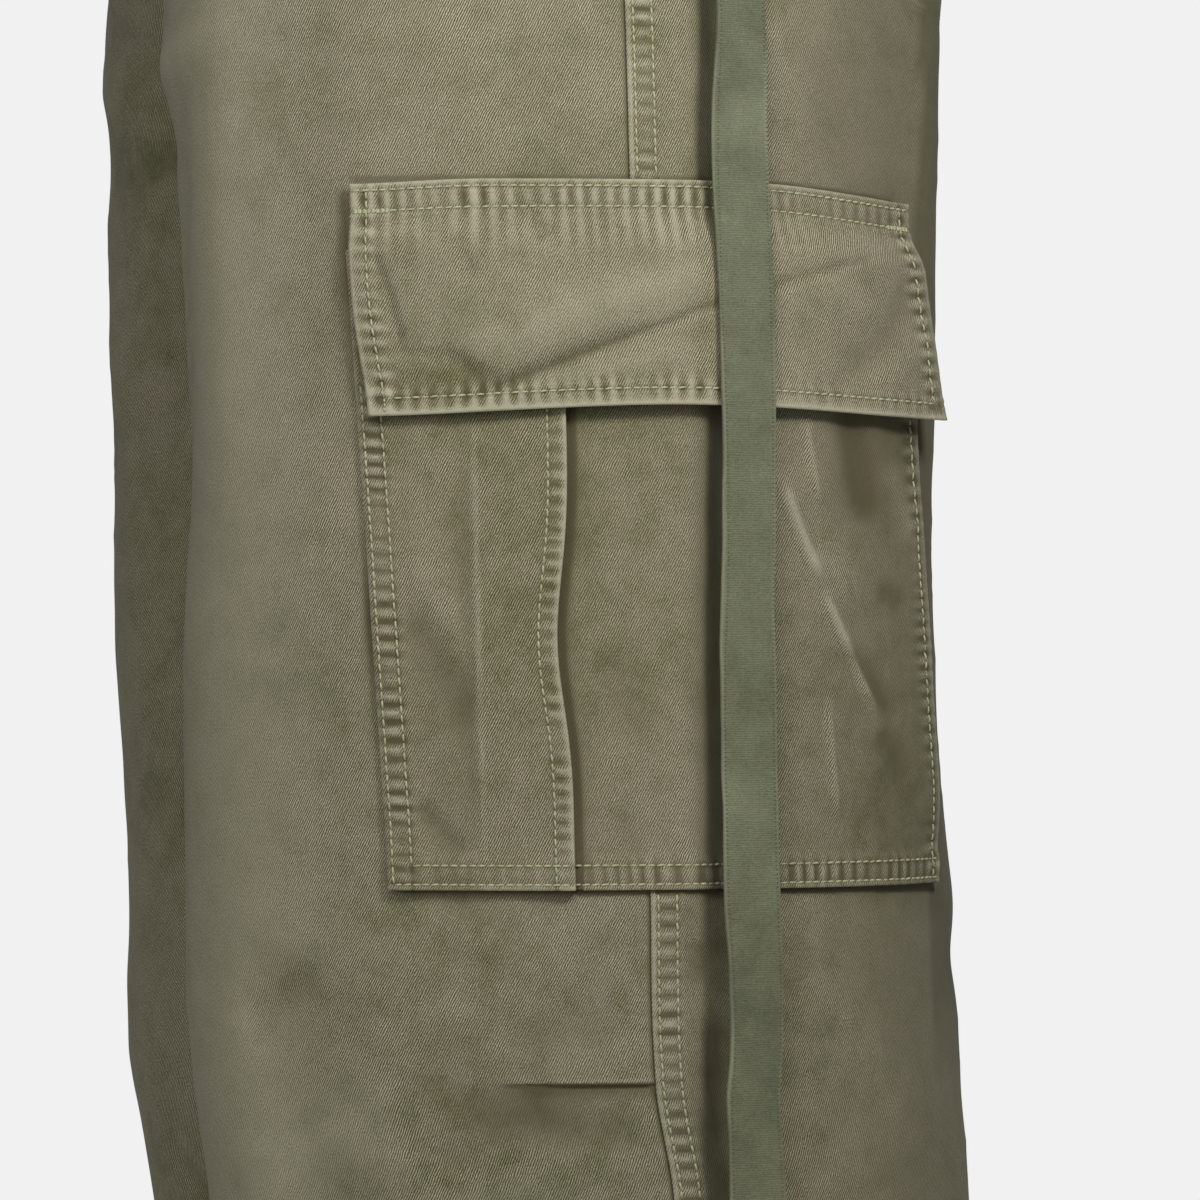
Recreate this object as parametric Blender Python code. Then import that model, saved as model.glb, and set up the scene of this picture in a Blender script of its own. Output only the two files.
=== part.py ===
"""Loose cargo trousers, standing open as worn, with no wearer.

Metres, +Z up. The front faces -Y and the wearer's left is +X. The origin is
the middle of the waist, where the wearer holds the garment up.

Every piece is one closed wall of cloth. A leg's front and back panels are
grids on the garment's form, and whatever lies on them (fly, pockets, flaps,
strap) is laid out on the panels' own points and moved out.
"""

import math
from functools import lru_cache
from typing import NamedTuple

import bpy
from mathutils import Vector

# Cloth and seams
CLOTH = 0.0015             # twill wall
BAND_CLOTH = 0.0026        # folded and faced waistband
BAND_PROUD = 0.0006        # waistband's face, out from the panels' faces
FLAP_CLOTH = 0.0019        # two layers of twill
TAPE = 0.0016              # woven tape folded double
SEAM_GAP = 0.0003          # slit between pieces sewn edge to edge
LAYER_GAP = 0.0003         # slit between a panel and what is sewn on it

# Heights of the cut, from the top down
BAND_TOP = 0.020
BAND_FOOT = -0.020
RISE_START = -0.142        # where the centre seams leave the plane front and back
CROTCH = -0.262
FLAP_TOP = -0.325
POCKET_TOP = -0.348
FLAP_FOOT = -0.405
POCKET_FOOT = -0.569
KNEE = -0.636
HEM = -1.040

# Cargo pocket, measured along the cloth from the side seam
POCKET_FRONT_TOP = 0.100
POCKET_FRONT_FOOT = 0.091
POCKET_BACK_TOP = 0.113
POCKET_BACK_FOOT = 0.127
POCKET_SWELL_FOOT = 0.040  # height over which the pocket swells from its foot
POCKET_MOUTH = 0.060       # height over which it draws in towards its mouth
POCKET_DRAW = 0.25         # share of the swell lost at the mouth
POCKET_HEM_ROW = 0.011     # extra row of points above the foot
POCKET_FOOT_SWELL = 0.05   # how far into its swell the foot already is, as a share

# Cargo flap
FLAP_INSET = 0.002         # its front edge behind the pocket's
FLAP_CORNER = 0.004        # its bottom front corner further in
FLAP_SIDE = 0.0015         # its back edge past the pocket's, at the top
FLAP_OVERHANG = 0.003      # and this much more below
FLAP_OVER_FRONT = 0.0052   # lift over the pocket at the front
FLAP_OVER_BACK = 0.0009    # and this much more at the back
FLAP_FLARE = 0.0045        # flare of the bottom back corner

# Parts of the flap, as shares of its width or depth
FLAP_SEWN = 0.10           # depth sewn flat along the top
FLAP_STEP = 0.22           # depth over which it then steps out over the pocket's mouth
FLAP_CORNER_DEPTH = 0.15   # depth of the drawn-in bottom front corner
FLAP_OVERHANG_DEPTH = 0.5  # depth over which the back edge runs out
FLAP_FLARE_WIDTH = 0.22
FLAP_FLARE_DEPTH = 0.75

# Knee tucks: a short ledge pinched into the front panel at each seam
LEDGE = 0.003
TUCK_HOLLOW = 0.0012       # depth of the hollow under the ledge
TUCK_LENGTH = 0.052
TUCK_SEWN = 0.008          # from the seam to the tuck's full height
TUCK_FADE = 0.028          # above and below the ledge

# Fly
FLY_WIDTH = 0.038
FLY_FOOT = -0.175
BAND_LAP = 0.034           # left band end over the right one
LAP_STATIONS = (-0.2, 0.0, 0.5, 1.1)  # lapped points from the centre front, in laps
LAP_CLEAR = 1.7            # where the left half lies on the waist again
LAP_UNDER = (0.5, 1.0)     # points of the right half under the lap

# Button
BUTTON_RADIUS = 0.0085
BUTTON_THICKNESS = 0.0026
BUTTON_SIDES = 24
BUTTON_PLACE = 0.4         # from the centre front, in laps

# Strap
STRAP_WIDTH = 0.0200
STRAP_COLUMNS = (-0.5, -0.2, 0.2, 0.5)

# Colours
OLIVE = (0.215, 0.200, 0.125)
POCKET_OLIVE = (0.235, 0.220, 0.145)
TAPE_GREEN = (0.170, 0.185, 0.115)
BUTTON_BROWN = (0.050, 0.042, 0.028)
TWILL_ROUGHNESS = 0.88
TAPE_ROUGHNESS = 0.85
BUTTON_ROUGHNESS = 0.45
SHARP_ANGLE = 35.0

# Counts of the grids
ARC_STEPS = 240
SEAM_COLUMNS = 6           # between the side seam and the pocket's edge
MIDDLE_COLUMNS = 9         # between the pocket's edge and the fly's
FLY_COLUMNS = 2            # between the fly's edge and the inner edge
BAND_COLUMNS = 18          # round each half of the waistband
RISE_ROWS = 7              # down the curve of the centre seams
RISE_POWER = 1.5           # draws those rows together towards the crotch
SAME_HEIGHT = 1e-6         # heights nearer than this are one row
STRAP_STEPS = 34


class Section(NamedTuple):
    """A level section of one leg and half of the seat."""

    z: float
    outer: float    # x of the side seam
    inner: float    # x of the inseam
    front: float    # from the side seam forward to the front
    back: float     # from the side seam back to the seat or calf
    seam_y: float   # y of the side seam
    right_y: float  # how far the right leg stands behind the left one


FORM = (
    #        z      outer  inner  front   back    seam_y right_y
    Section(0.020, 0.150, 0.000, 0.1080, 0.1120, 0.000, 0.0000),
    Section(-0.020, 0.154, 0.000, 0.1130, 0.1190, 0.000, 0.0000),
    Section(-0.090, 0.172, 0.000, 0.1310, 0.1370, 0.004, 0.0000),
    Section(-0.180, 0.186, 0.000, 0.1430, 0.1430, 0.008, 0.0000),
    Section(-0.262, 0.191, 0.000, 0.1470, 0.1350, 0.011, 0.0010),
    Section(-0.325, 0.195, 0.008, 0.1440, 0.1290, 0.012, 0.0020),
    Section(-0.405, 0.197, 0.013, 0.1415, 0.1230, 0.014, 0.0015),
    Section(-0.470, 0.197, 0.016, 0.1440, 0.1225, 0.016, 0.0020),
    Section(-0.570, 0.196, 0.018, 0.1460, 0.1240, 0.019, 0.0065),
    Section(-0.636, 0.195, 0.019, 0.1480, 0.1245, 0.021, 0.0065),
    Section(-0.676, 0.193, 0.020, 0.1500, 0.1208, 0.028, 0.0080),
    Section(-0.760, 0.189, 0.024, 0.1450, 0.1200, 0.033, 0.0110),
    Section(-0.880, 0.184, 0.031, 0.1320, 0.1080, 0.035, 0.0120),
    Section(-1.040, 0.180, 0.038, 0.1150, 0.0950, 0.035, 0.0120),
)


class Fold(NamedTuple):
    """A long soft fold in a panel. Its places are distances from the side seam."""

    panel: str
    top: float
    foot: float
    at_top: float
    at_foot: float
    width: float
    height: float   # out of the panel, or into it where negative


FOLDS = (
    #    panel          top     foot   at_top at_foot width  height
    Fold("front_left", -0.150, -0.480, 0.146, 0.162, 0.016, 0.0028),
    Fold("front_left", -0.430, -0.650, 0.180, 0.205, 0.022, 0.0030),
    Fold("front_left", -0.570, -0.715, 0.100, 0.088, 0.018, 0.0034),
    Fold("front_left", -0.585, -0.700, 0.140, 0.125, 0.015, -0.0024),
    Fold("front_left", -0.680, -0.980, 0.060, 0.115, 0.022, 0.0032),
    Fold("front_left", -0.700, -1.020, 0.190, 0.165, 0.024, 0.0036),
    Fold("front_left", -0.330, -0.560, 0.255, 0.270, 0.020, 0.0026),
    Fold("back_left", -0.130, -0.480, 0.128, 0.146, 0.014, 0.0032),
    Fold("back_left", -0.150, -0.440, 0.152, 0.168, 0.014, -0.0026),
    Fold("back_left", -0.520, -0.760, 0.175, 0.120, 0.020, 0.0032),
    Fold("back_left", -0.600, -0.800, 0.210, 0.150, 0.018, -0.0028),
    Fold("back_left", -0.740, -1.020, 0.080, 0.120, 0.024, 0.0034),
    Fold("front_right", -0.150, -0.440, 0.140, 0.152, 0.017, 0.0026),
    Fold("front_right", -0.330, -0.560, 0.190, 0.226, 0.016, 0.0028),
    Fold("front_right", -0.560, -0.720, 0.110, 0.096, 0.018, 0.0032),
    Fold("front_right", -0.690, -0.960, 0.070, 0.105, 0.020, 0.0030),
    Fold("front_right", -0.720, -1.020, 0.200, 0.170, 0.026, 0.0034),
    Fold("back_right", -0.120, -0.460, 0.132, 0.150, 0.015, 0.0030),
    Fold("back_right", -0.170, -0.420, 0.158, 0.172, 0.014, -0.0024),
    Fold("back_right", -0.540, -0.770, 0.165, 0.125, 0.021, 0.0034),
    Fold("back_right", -0.620, -0.790, 0.205, 0.160, 0.017, -0.0026),
    Fold("back_right", -0.760, -1.010, 0.095, 0.125, 0.022, 0.0030),
)


class StrapRow(NamedTuple):
    """One station down the hanging strap."""

    z: float
    behind: float    # middle of the tape, behind the side seam
    stand_off: float  # middle of the tape, out from the panel
    turn: float      # degrees that its face turns to the front


STRAP_ROWS = (
    #         z      behind stand_off turn
    StrapRow(-0.003, 0.0370, 0.0018, 0.0),
    StrapRow(-0.022, 0.0370, 0.0018, 0.0),
    StrapRow(-0.060, 0.0370, 0.0019, 0.0),
    StrapRow(-0.120, 0.0370, 0.0022, 0.0),
    StrapRow(-0.180, 0.0372, 0.0040, -3.0),
    StrapRow(-0.262, 0.0377, 0.0085, -12.0),
    StrapRow(-0.297, 0.0365, 0.0095, 3.0),
    StrapRow(-0.330, 0.0357, 0.0102, 8.0),
    StrapRow(-0.405, 0.0353, 0.0108, 0.0),
    StrapRow(-0.450, 0.0341, 0.0112, -4.0),
    StrapRow(-0.505, 0.0318, 0.0117, 4.0),
    StrapRow(-0.570, 0.0311, 0.0127, 6.0),
    StrapRow(-0.620, 0.0315, 0.0136, -4.0),
    StrapRow(-0.676, 0.0237, 0.0155, 2.0),
    StrapRow(-0.760, 0.0187, 0.0195, 6.0),
    StrapRow(-0.830, 0.0172, 0.0225, 4.0),
)


def column(rows, name, z):
    """Value of a table's column at height z, on a smooth curve through its rows."""
    z = max(min(z, rows[0].z), rows[-1].z)
    i = next(k for k in range(len(rows) - 1) if z >= rows[k + 1].z)
    values = [getattr(row, name) for row in rows]

    def slope(k):
        a = max(k - 1, 0)
        b = min(k + 1, len(rows) - 1)
        return (values[b] - values[a]) / (rows[b].z - rows[a].z)

    span = rows[i + 1].z - rows[i].z
    t = (z - rows[i].z) / span
    rise = values[i + 1] - values[i]
    start = slope(i) * span
    end = slope(i + 1) * span
    square = 3.0 * rise - 2.0 * start - end
    cube = start + end - 2.0 * rise
    return values[i] + t * (start + t * (square + t * cube))


def ease(t):
    """Smooth step from 0 to 1 as t goes from 0 to 1."""
    t = max(0.0, min(1.0, t))
    return t * t * (3.0 - 2.0 * t)


@lru_cache(maxsize=None)
def arc(half, z):
    """Level section of a half panel at height z, from the side seam to its inner edge.

    Points are (x, y) for the wearer's left leg, with the length along the arc.
    """
    seam_y = column(FORM, "seam_y", z)
    outer = column(FORM, "outer", z)
    depth = column(FORM, half, z) * (-1.0 if half == "front" else 1.0)
    if z >= RISE_START:
        sweep = math.pi / 2.0
        inner = SEAM_GAP / 2.0
    elif z >= CROTCH:
        up = (z - CROTCH) / (RISE_START - CROTCH)
        opened = 2.5 * up ** RISE_POWER - 1.5 * up ** (RISE_POWER + 1.0)
        sweep = math.acos(opened - 1.0)
        inner = SEAM_GAP / 2.0
    else:
        sweep = math.pi
        inner = max(column(FORM, "inner", z), SEAM_GAP / 2.0)
    half_width = (outer - inner) / (1.0 - math.cos(sweep))
    middle = outer - half_width
    points = []
    length = 0.0
    for k in range(ARC_STEPS + 1):
        angle = sweep * k / ARC_STEPS
        x = middle + half_width * math.cos(angle)
        y = seam_y + depth * math.sin(angle)
        if points:
            length += math.hypot(x - points[-1][0], y - points[-1][1])
        points.append((x, y, length))
    return tuple(points)


def arc_length(half, z):
    """Length of the panel's section from the side seam to its inner edge."""
    return arc(half, z)[-1][2]


def arc_point(half, s, z):
    """Point of the section at length s from the side seam."""
    points = arc(half, z)
    s = max(0.0, min(points[-1][2], s))
    low, high = 0, ARC_STEPS
    while high - low > 1:
        mid = (low + high) // 2
        if points[mid][2] > s:
            high = mid
        else:
            low = mid
    t = (s - points[low][2]) / (points[high][2] - points[low][2])
    x = points[low][0] + t * (points[high][0] - points[low][0])
    y = points[low][1] + t * (points[high][1] - points[low][1])
    return Vector((x, y, z))


def pocket_edge(half, z):
    """Length from the side seam to the line that carries the pocket's edge."""
    t = (POCKET_TOP - z) / (POCKET_TOP - POCKET_FOOT)
    t = max(0.0, min(1.0, t))
    if half == "front":
        return POCKET_FRONT_TOP + t * (POCKET_FRONT_FOOT - POCKET_FRONT_TOP)
    return POCKET_BACK_TOP + t * (POCKET_BACK_FOOT - POCKET_BACK_TOP)


def along(half, share, z):
    """Length from the side seam for a share.

    0 is the seam, 1 the pocket's edge, 2 the fly's edge and 3 the panel's inner edge.
    """
    edge = pocket_edge(half, z)
    end = arc_length(half, z) - SEAM_GAP / 2.0
    if share <= 1.0:
        return SEAM_GAP / 2.0 + share * (edge - SEAM_GAP / 2.0)
    if share <= 2.0:
        return edge + (share - 1.0) * (end - FLY_WIDTH - edge)
    return end - (3.0 - share) * FLY_WIDTH


def share_of(half, s, z):
    """Share that lies at length s from the side seam."""
    edge = pocket_edge(half, z)
    end = arc_length(half, z) - SEAM_GAP / 2.0
    if s <= edge:
        return (s - SEAM_GAP / 2.0) / (edge - SEAM_GAP / 2.0)
    if s <= end - FLY_WIDTH:
        return 1.0 + (s - edge) / (end - FLY_WIDTH - edge)
    return 3.0 - (end - s) / FLY_WIDTH


def fold_height(panel, s, z):
    """How far the large folds push a panel out at length s and height z."""
    total = 0.0
    for fold in FOLDS:
        if fold.panel != panel or not fold.foot < z < fold.top:
            continue
        t = (fold.top - z) / (fold.top - fold.foot)
        line = fold.at_top + t * (fold.at_foot - fold.at_top)
        fade = ease(4.0 * t) * ease(4.0 * (1.0 - t))
        total += fold.height * fade * math.exp(-(((s - line) / fold.width) ** 2))
    return total


def tuck_height(half, s, z):
    """Ledge of the knee tucks: full above the ledge, fading upwards, and hollow below it."""
    if half != "front":
        return 0.0
    total = 0.0
    for away in (s, arc_length(half, z) - s):
        reach = ease(away / TUCK_SEWN) * ease((TUCK_LENGTH - away) / (0.5 * TUCK_LENGTH))
        if z >= KNEE:
            total += LEDGE * reach * ease(1.0 - (z - KNEE) / TUCK_FADE)
        else:
            total -= TUCK_HOLLOW * reach * ease(1.0 - (KNEE - LEDGE - z) / TUCK_FADE)
    return total


def form_point(panel, share, z):
    """Point of a panel's outer face and the direction out of it, without its folds."""
    half, side = panel.split("_")
    share_step = 0.002
    height_step = 0.0002
    above = z if z == CROTCH else z + height_step
    below = z - height_step
    centre = arc_point(half, along(half, share, z), z)
    left = arc_point(half, along(half, max(share - share_step, 0.0), z), z)
    right = arc_point(half, along(half, min(share + share_step, 3.0), z), z)
    upper = arc_point(half, along(half, share, above), above)
    lower = arc_point(half, along(half, share, below), below)
    out = (right - left).cross(upper - lower).normalized()
    if half == "front":
        out.negate()
    if side == "right":
        centre.x = -centre.x
        centre.y += column(FORM, "right_y", z)
        out.x = -out.x
    return centre, out


def spread(heights, runs):
    """Add evenly spaced heights to a list: each run goes on to its end in count steps."""
    for end, count in runs:
        start = heights[-1]
        heights += [start + (end - start) * k / count for k in range(1, count + 1)]


def panel_rows():
    """Heights of the panels' rows, from the waistband's seam to the hem."""
    heights = [BAND_FOOT - SEAM_GAP]
    spread(heights, ((RISE_START, 3),))
    for k in range(RISE_ROWS - 1, -1, -1):
        heights.append(CROTCH + (RISE_START - CROTCH) * (k / RISE_ROWS) ** RISE_POWER)
    spread(heights, (
        # end             count
        (FLAP_TOP, 3),
        (POCKET_TOP, 2),
        (FLAP_FOOT, 3),
        (POCKET_FOOT, 6),
        (KNEE, 3),
        (KNEE - LEDGE, 1),
        (HEM, 9),
    ))
    return heights


PANEL_ROWS = panel_rows()
PANEL_SHARES = [k / SEAM_COLUMNS for k in range(SEAM_COLUMNS)]
PANEL_SHARES += [1.0 + k / MIDDLE_COLUMNS for k in range(MIDDLE_COLUMNS)]
PANEL_SHARES += [2.0 + k / FLY_COLUMNS for k in range(FLY_COLUMNS + 1)]


def rows_between(top, foot):
    """Heights of the panels' rows from a top to a foot."""
    return [z for z in PANEL_ROWS if foot - SAME_HEIGHT <= z <= top + SAME_HEIGHT]


@lru_cache(maxsize=None)
def panel_grid(panel):
    """Rows of (outer point, direction out) of a panel, folds included."""
    half = panel.split("_")[0]
    grid = []
    for z in PANEL_ROWS:
        row = []
        for share in PANEL_SHARES:
            point, out = form_point(panel, share, z)
            s = along(half, share, z)
            height = fold_height(panel, s, z) + tuck_height(half, s, z)
            row.append((point + out * height, out))
        grid.append(row)
    return grid


def bracket(values, value):
    """Index and fraction of a value in a list that rises or falls throughout."""
    rising = values[-1] > values[0]
    i = 0
    while i < len(values) - 2 and (value > values[i + 1] if rising else value < values[i + 1]):
        i += 1
    t = (value - values[i]) / (values[i + 1] - values[i])
    return i, t


def on_panel(panel, s, z, stand_off):
    """Point that lies stand_off outside the panel's own facets, at length s and height z."""
    half = panel.split("_")[0]
    grid = panel_grid(panel)
    j, v = bracket(PANEL_SHARES, share_of(half, s, z))
    i, u = bracket(PANEL_ROWS, z)
    if u + v <= 1.0:
        corners = ((1.0 - u - v, grid[i][j]), (v, grid[i][j + 1]), (u, grid[i + 1][j]))
    else:
        far = (u + v - 1.0, grid[i + 1][j + 1])
        corners = (far, (1.0 - u, grid[i][j + 1]), (1.0 - v, grid[i + 1][j]))
    point = Vector((0.0, 0.0, 0.0))
    out = Vector((0.0, 0.0, 0.0))
    for weight, (corner, corner_out) in corners:
        point += corner * weight
        out += corner_out * weight
    return point + out.normalized() * stand_off


def round_leg(side, s, z, stand_off):
    """Point outside a leg at signed length s: in front of the side seam where negative."""
    half = "front" if s < 0.0 else "back"
    if abs(s) < SEAM_GAP / 2.0:
        ahead = on_panel("front_" + side, SEAM_GAP / 2.0, z, stand_off)
        behind = on_panel("back_" + side, SEAM_GAP / 2.0, z, stand_off)
        return (ahead + behind) / 2.0
    return on_panel(half + "_" + side, abs(s), z, stand_off)


def mesh_object(name, points, faces, colour, roughness):
    """Make one named object with its own material from points and faces."""
    mesh = bpy.data.meshes.new(name)
    mesh.from_pydata([tuple(p) for p in points], [], faces)
    mesh.validate()
    material = bpy.data.materials.new(name)
    material.use_nodes = True
    shader = material.node_tree.nodes["Principled BSDF"]
    shader.inputs["Base Color"].default_value = (*colour, 1.0)
    shader.inputs["Roughness"].default_value = roughness
    mesh.materials.append(material)
    mesh.shade_smooth()
    mesh.set_sharp_from_angle(angle=math.radians(SHARP_ANGLE))
    piece = bpy.data.objects.new(name, mesh)
    bpy.context.scene.collection.objects.link(piece)
    return piece


def wall(name, outer, inner, colour, roughness):
    """Close two equal grids of points, given as lists of rows, into one wall.

    Each cell is cut from its lower left to its upper right corner, as on_panel takes it.
    """
    rows = len(outer)
    columns = len(outer[0])
    points = [p for row in outer for p in row] + [p for row in inner for p in row]
    half = rows * columns

    def at(i, j, layer):
        return layer * half + i * columns + j

    faces = []
    for i in range(rows - 1):
        for j in range(columns - 1):
            faces.append((at(i, j, 0), at(i + 1, j, 0), at(i, j + 1, 0)))
            faces.append((at(i + 1, j, 0), at(i + 1, j + 1, 0), at(i, j + 1, 0)))
            faces.append((at(i, j, 1), at(i, j + 1, 1), at(i + 1, j, 1)))
            faces.append((at(i + 1, j, 1), at(i, j + 1, 1), at(i + 1, j + 1, 1)))
    for i in range(rows - 1):
        faces.append((at(i, 0, 0), at(i, 0, 1), at(i + 1, 0, 1), at(i + 1, 0, 0)))
        last = columns - 1
        faces.append((at(i, last, 0), at(i + 1, last, 0), at(i + 1, last, 1), at(i, last, 1)))
    for j in range(columns - 1):
        faces.append((at(0, j, 0), at(0, j + 1, 0), at(0, j + 1, 1), at(0, j, 1)))
        last = rows - 1
        faces.append((at(last, j, 0), at(last, j, 1), at(last, j + 1, 1), at(last, j + 1, 0)))
    i = rows // 2
    j = columns // 2
    down = outer[i][j] - outer[i - 1][j]
    across = outer[i][j] - outer[i][j - 1]
    if down.cross(across).dot(outer[i][j] - inner[i][j]) < 0.0:
        faces = [tuple(reversed(face)) for face in faces]
    return mesh_object(name, points, faces, colour, roughness)


def make_panel(panel):
    """Front or back of one leg and half of the seat, as one wall."""
    grid = panel_grid(panel)
    outer = [[point for point, out in row] for row in grid]
    inner = [[point - out * CLOTH for point, out in row] for row in grid]
    return wall(panel, outer, inner, OLIVE, TWILL_ROUGHNESS)


def band_point(angle, z, stand_off):
    """Point outside the waist's ring. The angle runs from the left side to the back."""
    outer = column(FORM, "outer", z)
    depth = column(FORM, "front" if math.sin(angle) < 0.0 else "back", z)
    out = Vector((math.cos(angle) / outer, math.sin(angle) / depth, 0.0)).normalized()
    return Vector((outer * math.cos(angle), depth * math.sin(angle), z)) + out * stand_off


def make_waistband(side):
    """Half of the waistband. The left half laps over the right one in front.

    Its stations are (angle, lift over the other half).
    """
    lap = BAND_LAP / FORM[0].outer
    slit = SEAM_GAP / 2.0 / FORM[0].outer
    front = -math.pi / 2.0
    over = BAND_CLOTH + LAYER_GAP
    if side == "left":
        clear = front + LAP_CLEAR * lap
        span = math.pi / 2.0 - slit - clear
        stations = [(front + share * lap, over) for share in LAP_STATIONS]
        stations += [(clear + span * k / BAND_COLUMNS, 0.0) for k in range(BAND_COLUMNS + 1)]
    else:
        start = slit - 1.5 * math.pi
        span = front - start
        stations = [(start + span * k / BAND_COLUMNS, 0.0) for k in range(BAND_COLUMNS + 1)]
        stations += [(front + share * lap, 0.0) for share in LAP_UNDER]
    outer = []
    inner = []
    for z in (BAND_TOP, 0.0, BAND_FOOT):
        outer.append([band_point(angle, z, BAND_PROUD + lift) for angle, lift in stations])
        back = BAND_PROUD - BAND_CLOTH
        inner.append([band_point(angle, z, back + lift) for angle, lift in stations])
    return wall("waistband_" + side, outer, inner, OLIVE, TWILL_ROUGHNESS)


def make_fly():
    """Fly placket on the left front beside the centre seam."""
    outer = []
    inner = []
    heights = [BAND_FOOT - 2.0 * LAYER_GAP - SEAM_GAP]
    heights += [z for z in PANEL_ROWS[1:] if z > FLY_FOOT]
    for z in heights:
        lengths = [along("front", share, z) for share in PANEL_SHARES if share >= 2.0]
        outer.append([on_panel("front_left", s, z, LAYER_GAP + CLOTH) for s in lengths])
        inner.append([on_panel("front_left", s, z, LAYER_GAP) for s in lengths])
    return wall("fly_placket", outer, inner, OLIVE, TWILL_ROUGHNESS)


def make_button():
    """Button at the front of the waistband, with a raised rim."""
    lift = BAND_PROUD + BAND_CLOTH + LAYER_GAP
    angle = -math.pi / 2.0 + BUTTON_PLACE * BAND_LAP / FORM[0].outer
    reach = BUTTON_RADIUS / FORM[0].outer
    across = band_point(angle + reach, 0.0, lift) - band_point(angle - reach, 0.0, lift)
    up = band_point(angle, BUTTON_RADIUS, lift) - band_point(angle, -BUTTON_RADIUS, lift)
    across.normalize()
    away = across.cross(up).normalized()
    up = away.cross(across)
    seat = band_point(angle, 0.0, lift) + away * LAYER_GAP
    profile = (
        # radius share, height share
        (0.86, 0.0),
        (1.00, 0.35),
        (0.98, 0.80),
        (0.84, 1.00),
        (0.66, 0.72),
    )
    points = []
    for radius, height in profile:
        for k in range(BUTTON_SIDES):
            turn = 2.0 * math.pi * k / BUTTON_SIDES
            aim = across * math.cos(turn) + up * math.sin(turn)
            points.append(seat + aim * radius * BUTTON_RADIUS + away * height * BUTTON_THICKNESS)
    faces = [tuple(reversed(range(BUTTON_SIDES)))]
    for ring in range(len(profile) - 1):
        for k in range(BUTTON_SIDES):
            n = (k + 1) % BUTTON_SIDES
            low = ring * BUTTON_SIDES
            high = low + BUTTON_SIDES
            faces.append((low + k, low + n, high + n, high + k))
    top = (len(profile) - 1) * BUTTON_SIDES
    faces.append(tuple(top + k for k in range(BUTTON_SIDES)))
    return mesh_object("waist_button", points, faces, BUTTON_BROWN, BUTTON_ROUGHNESS)


class PocketStation(NamedTuple):
    """One station across the pocket: -1 its front edge, 0 the side seam, 1 its back edge."""

    across: float
    rise: float     # out from a pocket lying flat


POCKET_PROFILE = (
    #             across  rise
    PocketStation(-1.000, 0.0000),
    PocketStation(-0.930, 0.0002),
    PocketStation(-0.833, 0.0010),
    PocketStation(-0.500, 0.0022),
    PocketStation(-0.333, 0.0029),
    PocketStation(-0.262, 0.0033),   # fold of the pleat
    PocketStation(-0.246, 0.0002),   # layer that the pleat lies on
    PocketStation(-0.160, 0.0005),
    PocketStation(0.000, 0.0011),
    PocketStation(0.333, 0.0018),
    PocketStation(0.667, 0.0026),
    PocketStation(0.985, 0.0032),    # bellows fold along the back edge
    PocketStation(1.000, 0.0020),
)
OWN_STATIONS = (-0.930, -0.262, -0.246, 0.985)
LEG_LINES = tuple(k / SEAM_COLUMNS for k in range(-SEAM_COLUMNS, SEAM_COLUMNS + 1))


def pocket_rise(across):
    """Rise of the pocket's face at a station, straight between the table's rows."""
    i = next(k for k in range(len(POCKET_PROFILE) - 1) if across <= POCKET_PROFILE[k + 1].across)
    start = POCKET_PROFILE[i]
    end = POCKET_PROFILE[i + 1]
    t = (across - start.across) / (end.across - start.across)
    return start.rise + t * (end.rise - start.rise)


def signed_length(across, z):
    """Length round the leg of a station: in front of the side seam where negative."""
    if across < 0.0:
        return -along("front", -across, z)
    if across > 0.0:
        return along("back", across, z)
    return 0.0


def mitred(outline, thickness):
    """Move an open outline of (across, up) points inwards by a constant thickness."""
    moved = []
    for k, (across, up) in enumerate(outline):
        before = outline[max(k - 1, 0)]
        after = outline[min(k + 1, len(outline) - 1)]
        normals = []
        for start, end in ((before, (across, up)), ((across, up), after)):
            run = end[0] - start[0]
            climb = end[1] - start[1]
            length = math.hypot(run, climb)
            if length > 0.0:
                normals.append((climb / length, -run / length))
        nx = sum(n[0] for n in normals)
        ny = sum(n[1] for n in normals)
        scale = math.hypot(nx, ny)
        nx, ny = nx / scale, ny / scale
        grip = max(0.5, nx * normals[0][0] + ny * normals[0][1])
        moved.append((across + nx * thickness / grip, up + ny * thickness / grip))
    return moved


def make_pocket(side):
    """Patch pocket with one stitched pleat and a bellows fold along its back edge."""
    heights = rows_between(POCKET_TOP, POCKET_FOOT)
    heights.insert(len(heights) - 1, POCKET_FOOT + POCKET_HEM_ROW)
    stations = sorted(LEG_LINES + OWN_STATIONS)
    flat = LAYER_GAP + CLOTH
    outer = []
    inner = []
    for z in heights:
        swell = ease((z - POCKET_FOOT) / POCKET_SWELL_FOOT + POCKET_FOOT_SWELL)
        swell *= 1.0 - POCKET_DRAW * ease(1.0 - (POCKET_TOP - z) / POCKET_MOUTH)
        outline = [(signed_length(q, z), flat + pocket_rise(q) * swell) for q in stations]
        back_edge = outline[-1][0]
        outline.append((back_edge, LAYER_GAP))
        shell = mitred(outline, CLOTH)
        shell[-1] = (back_edge - CLOTH, LAYER_GAP)
        shell[0] = (outline[0][0], LAYER_GAP)
        shell = [(s, max(up, LAYER_GAP)) for s, up in shell]
        outer.append([round_leg(side, s, z, up) for s, up in outline])
        inner.append([round_leg(side, s, z, up) for s, up in shell])
    return wall("cargo_pocket_" + side, outer, inner, POCKET_OLIVE, TWILL_ROUGHNESS)


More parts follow.
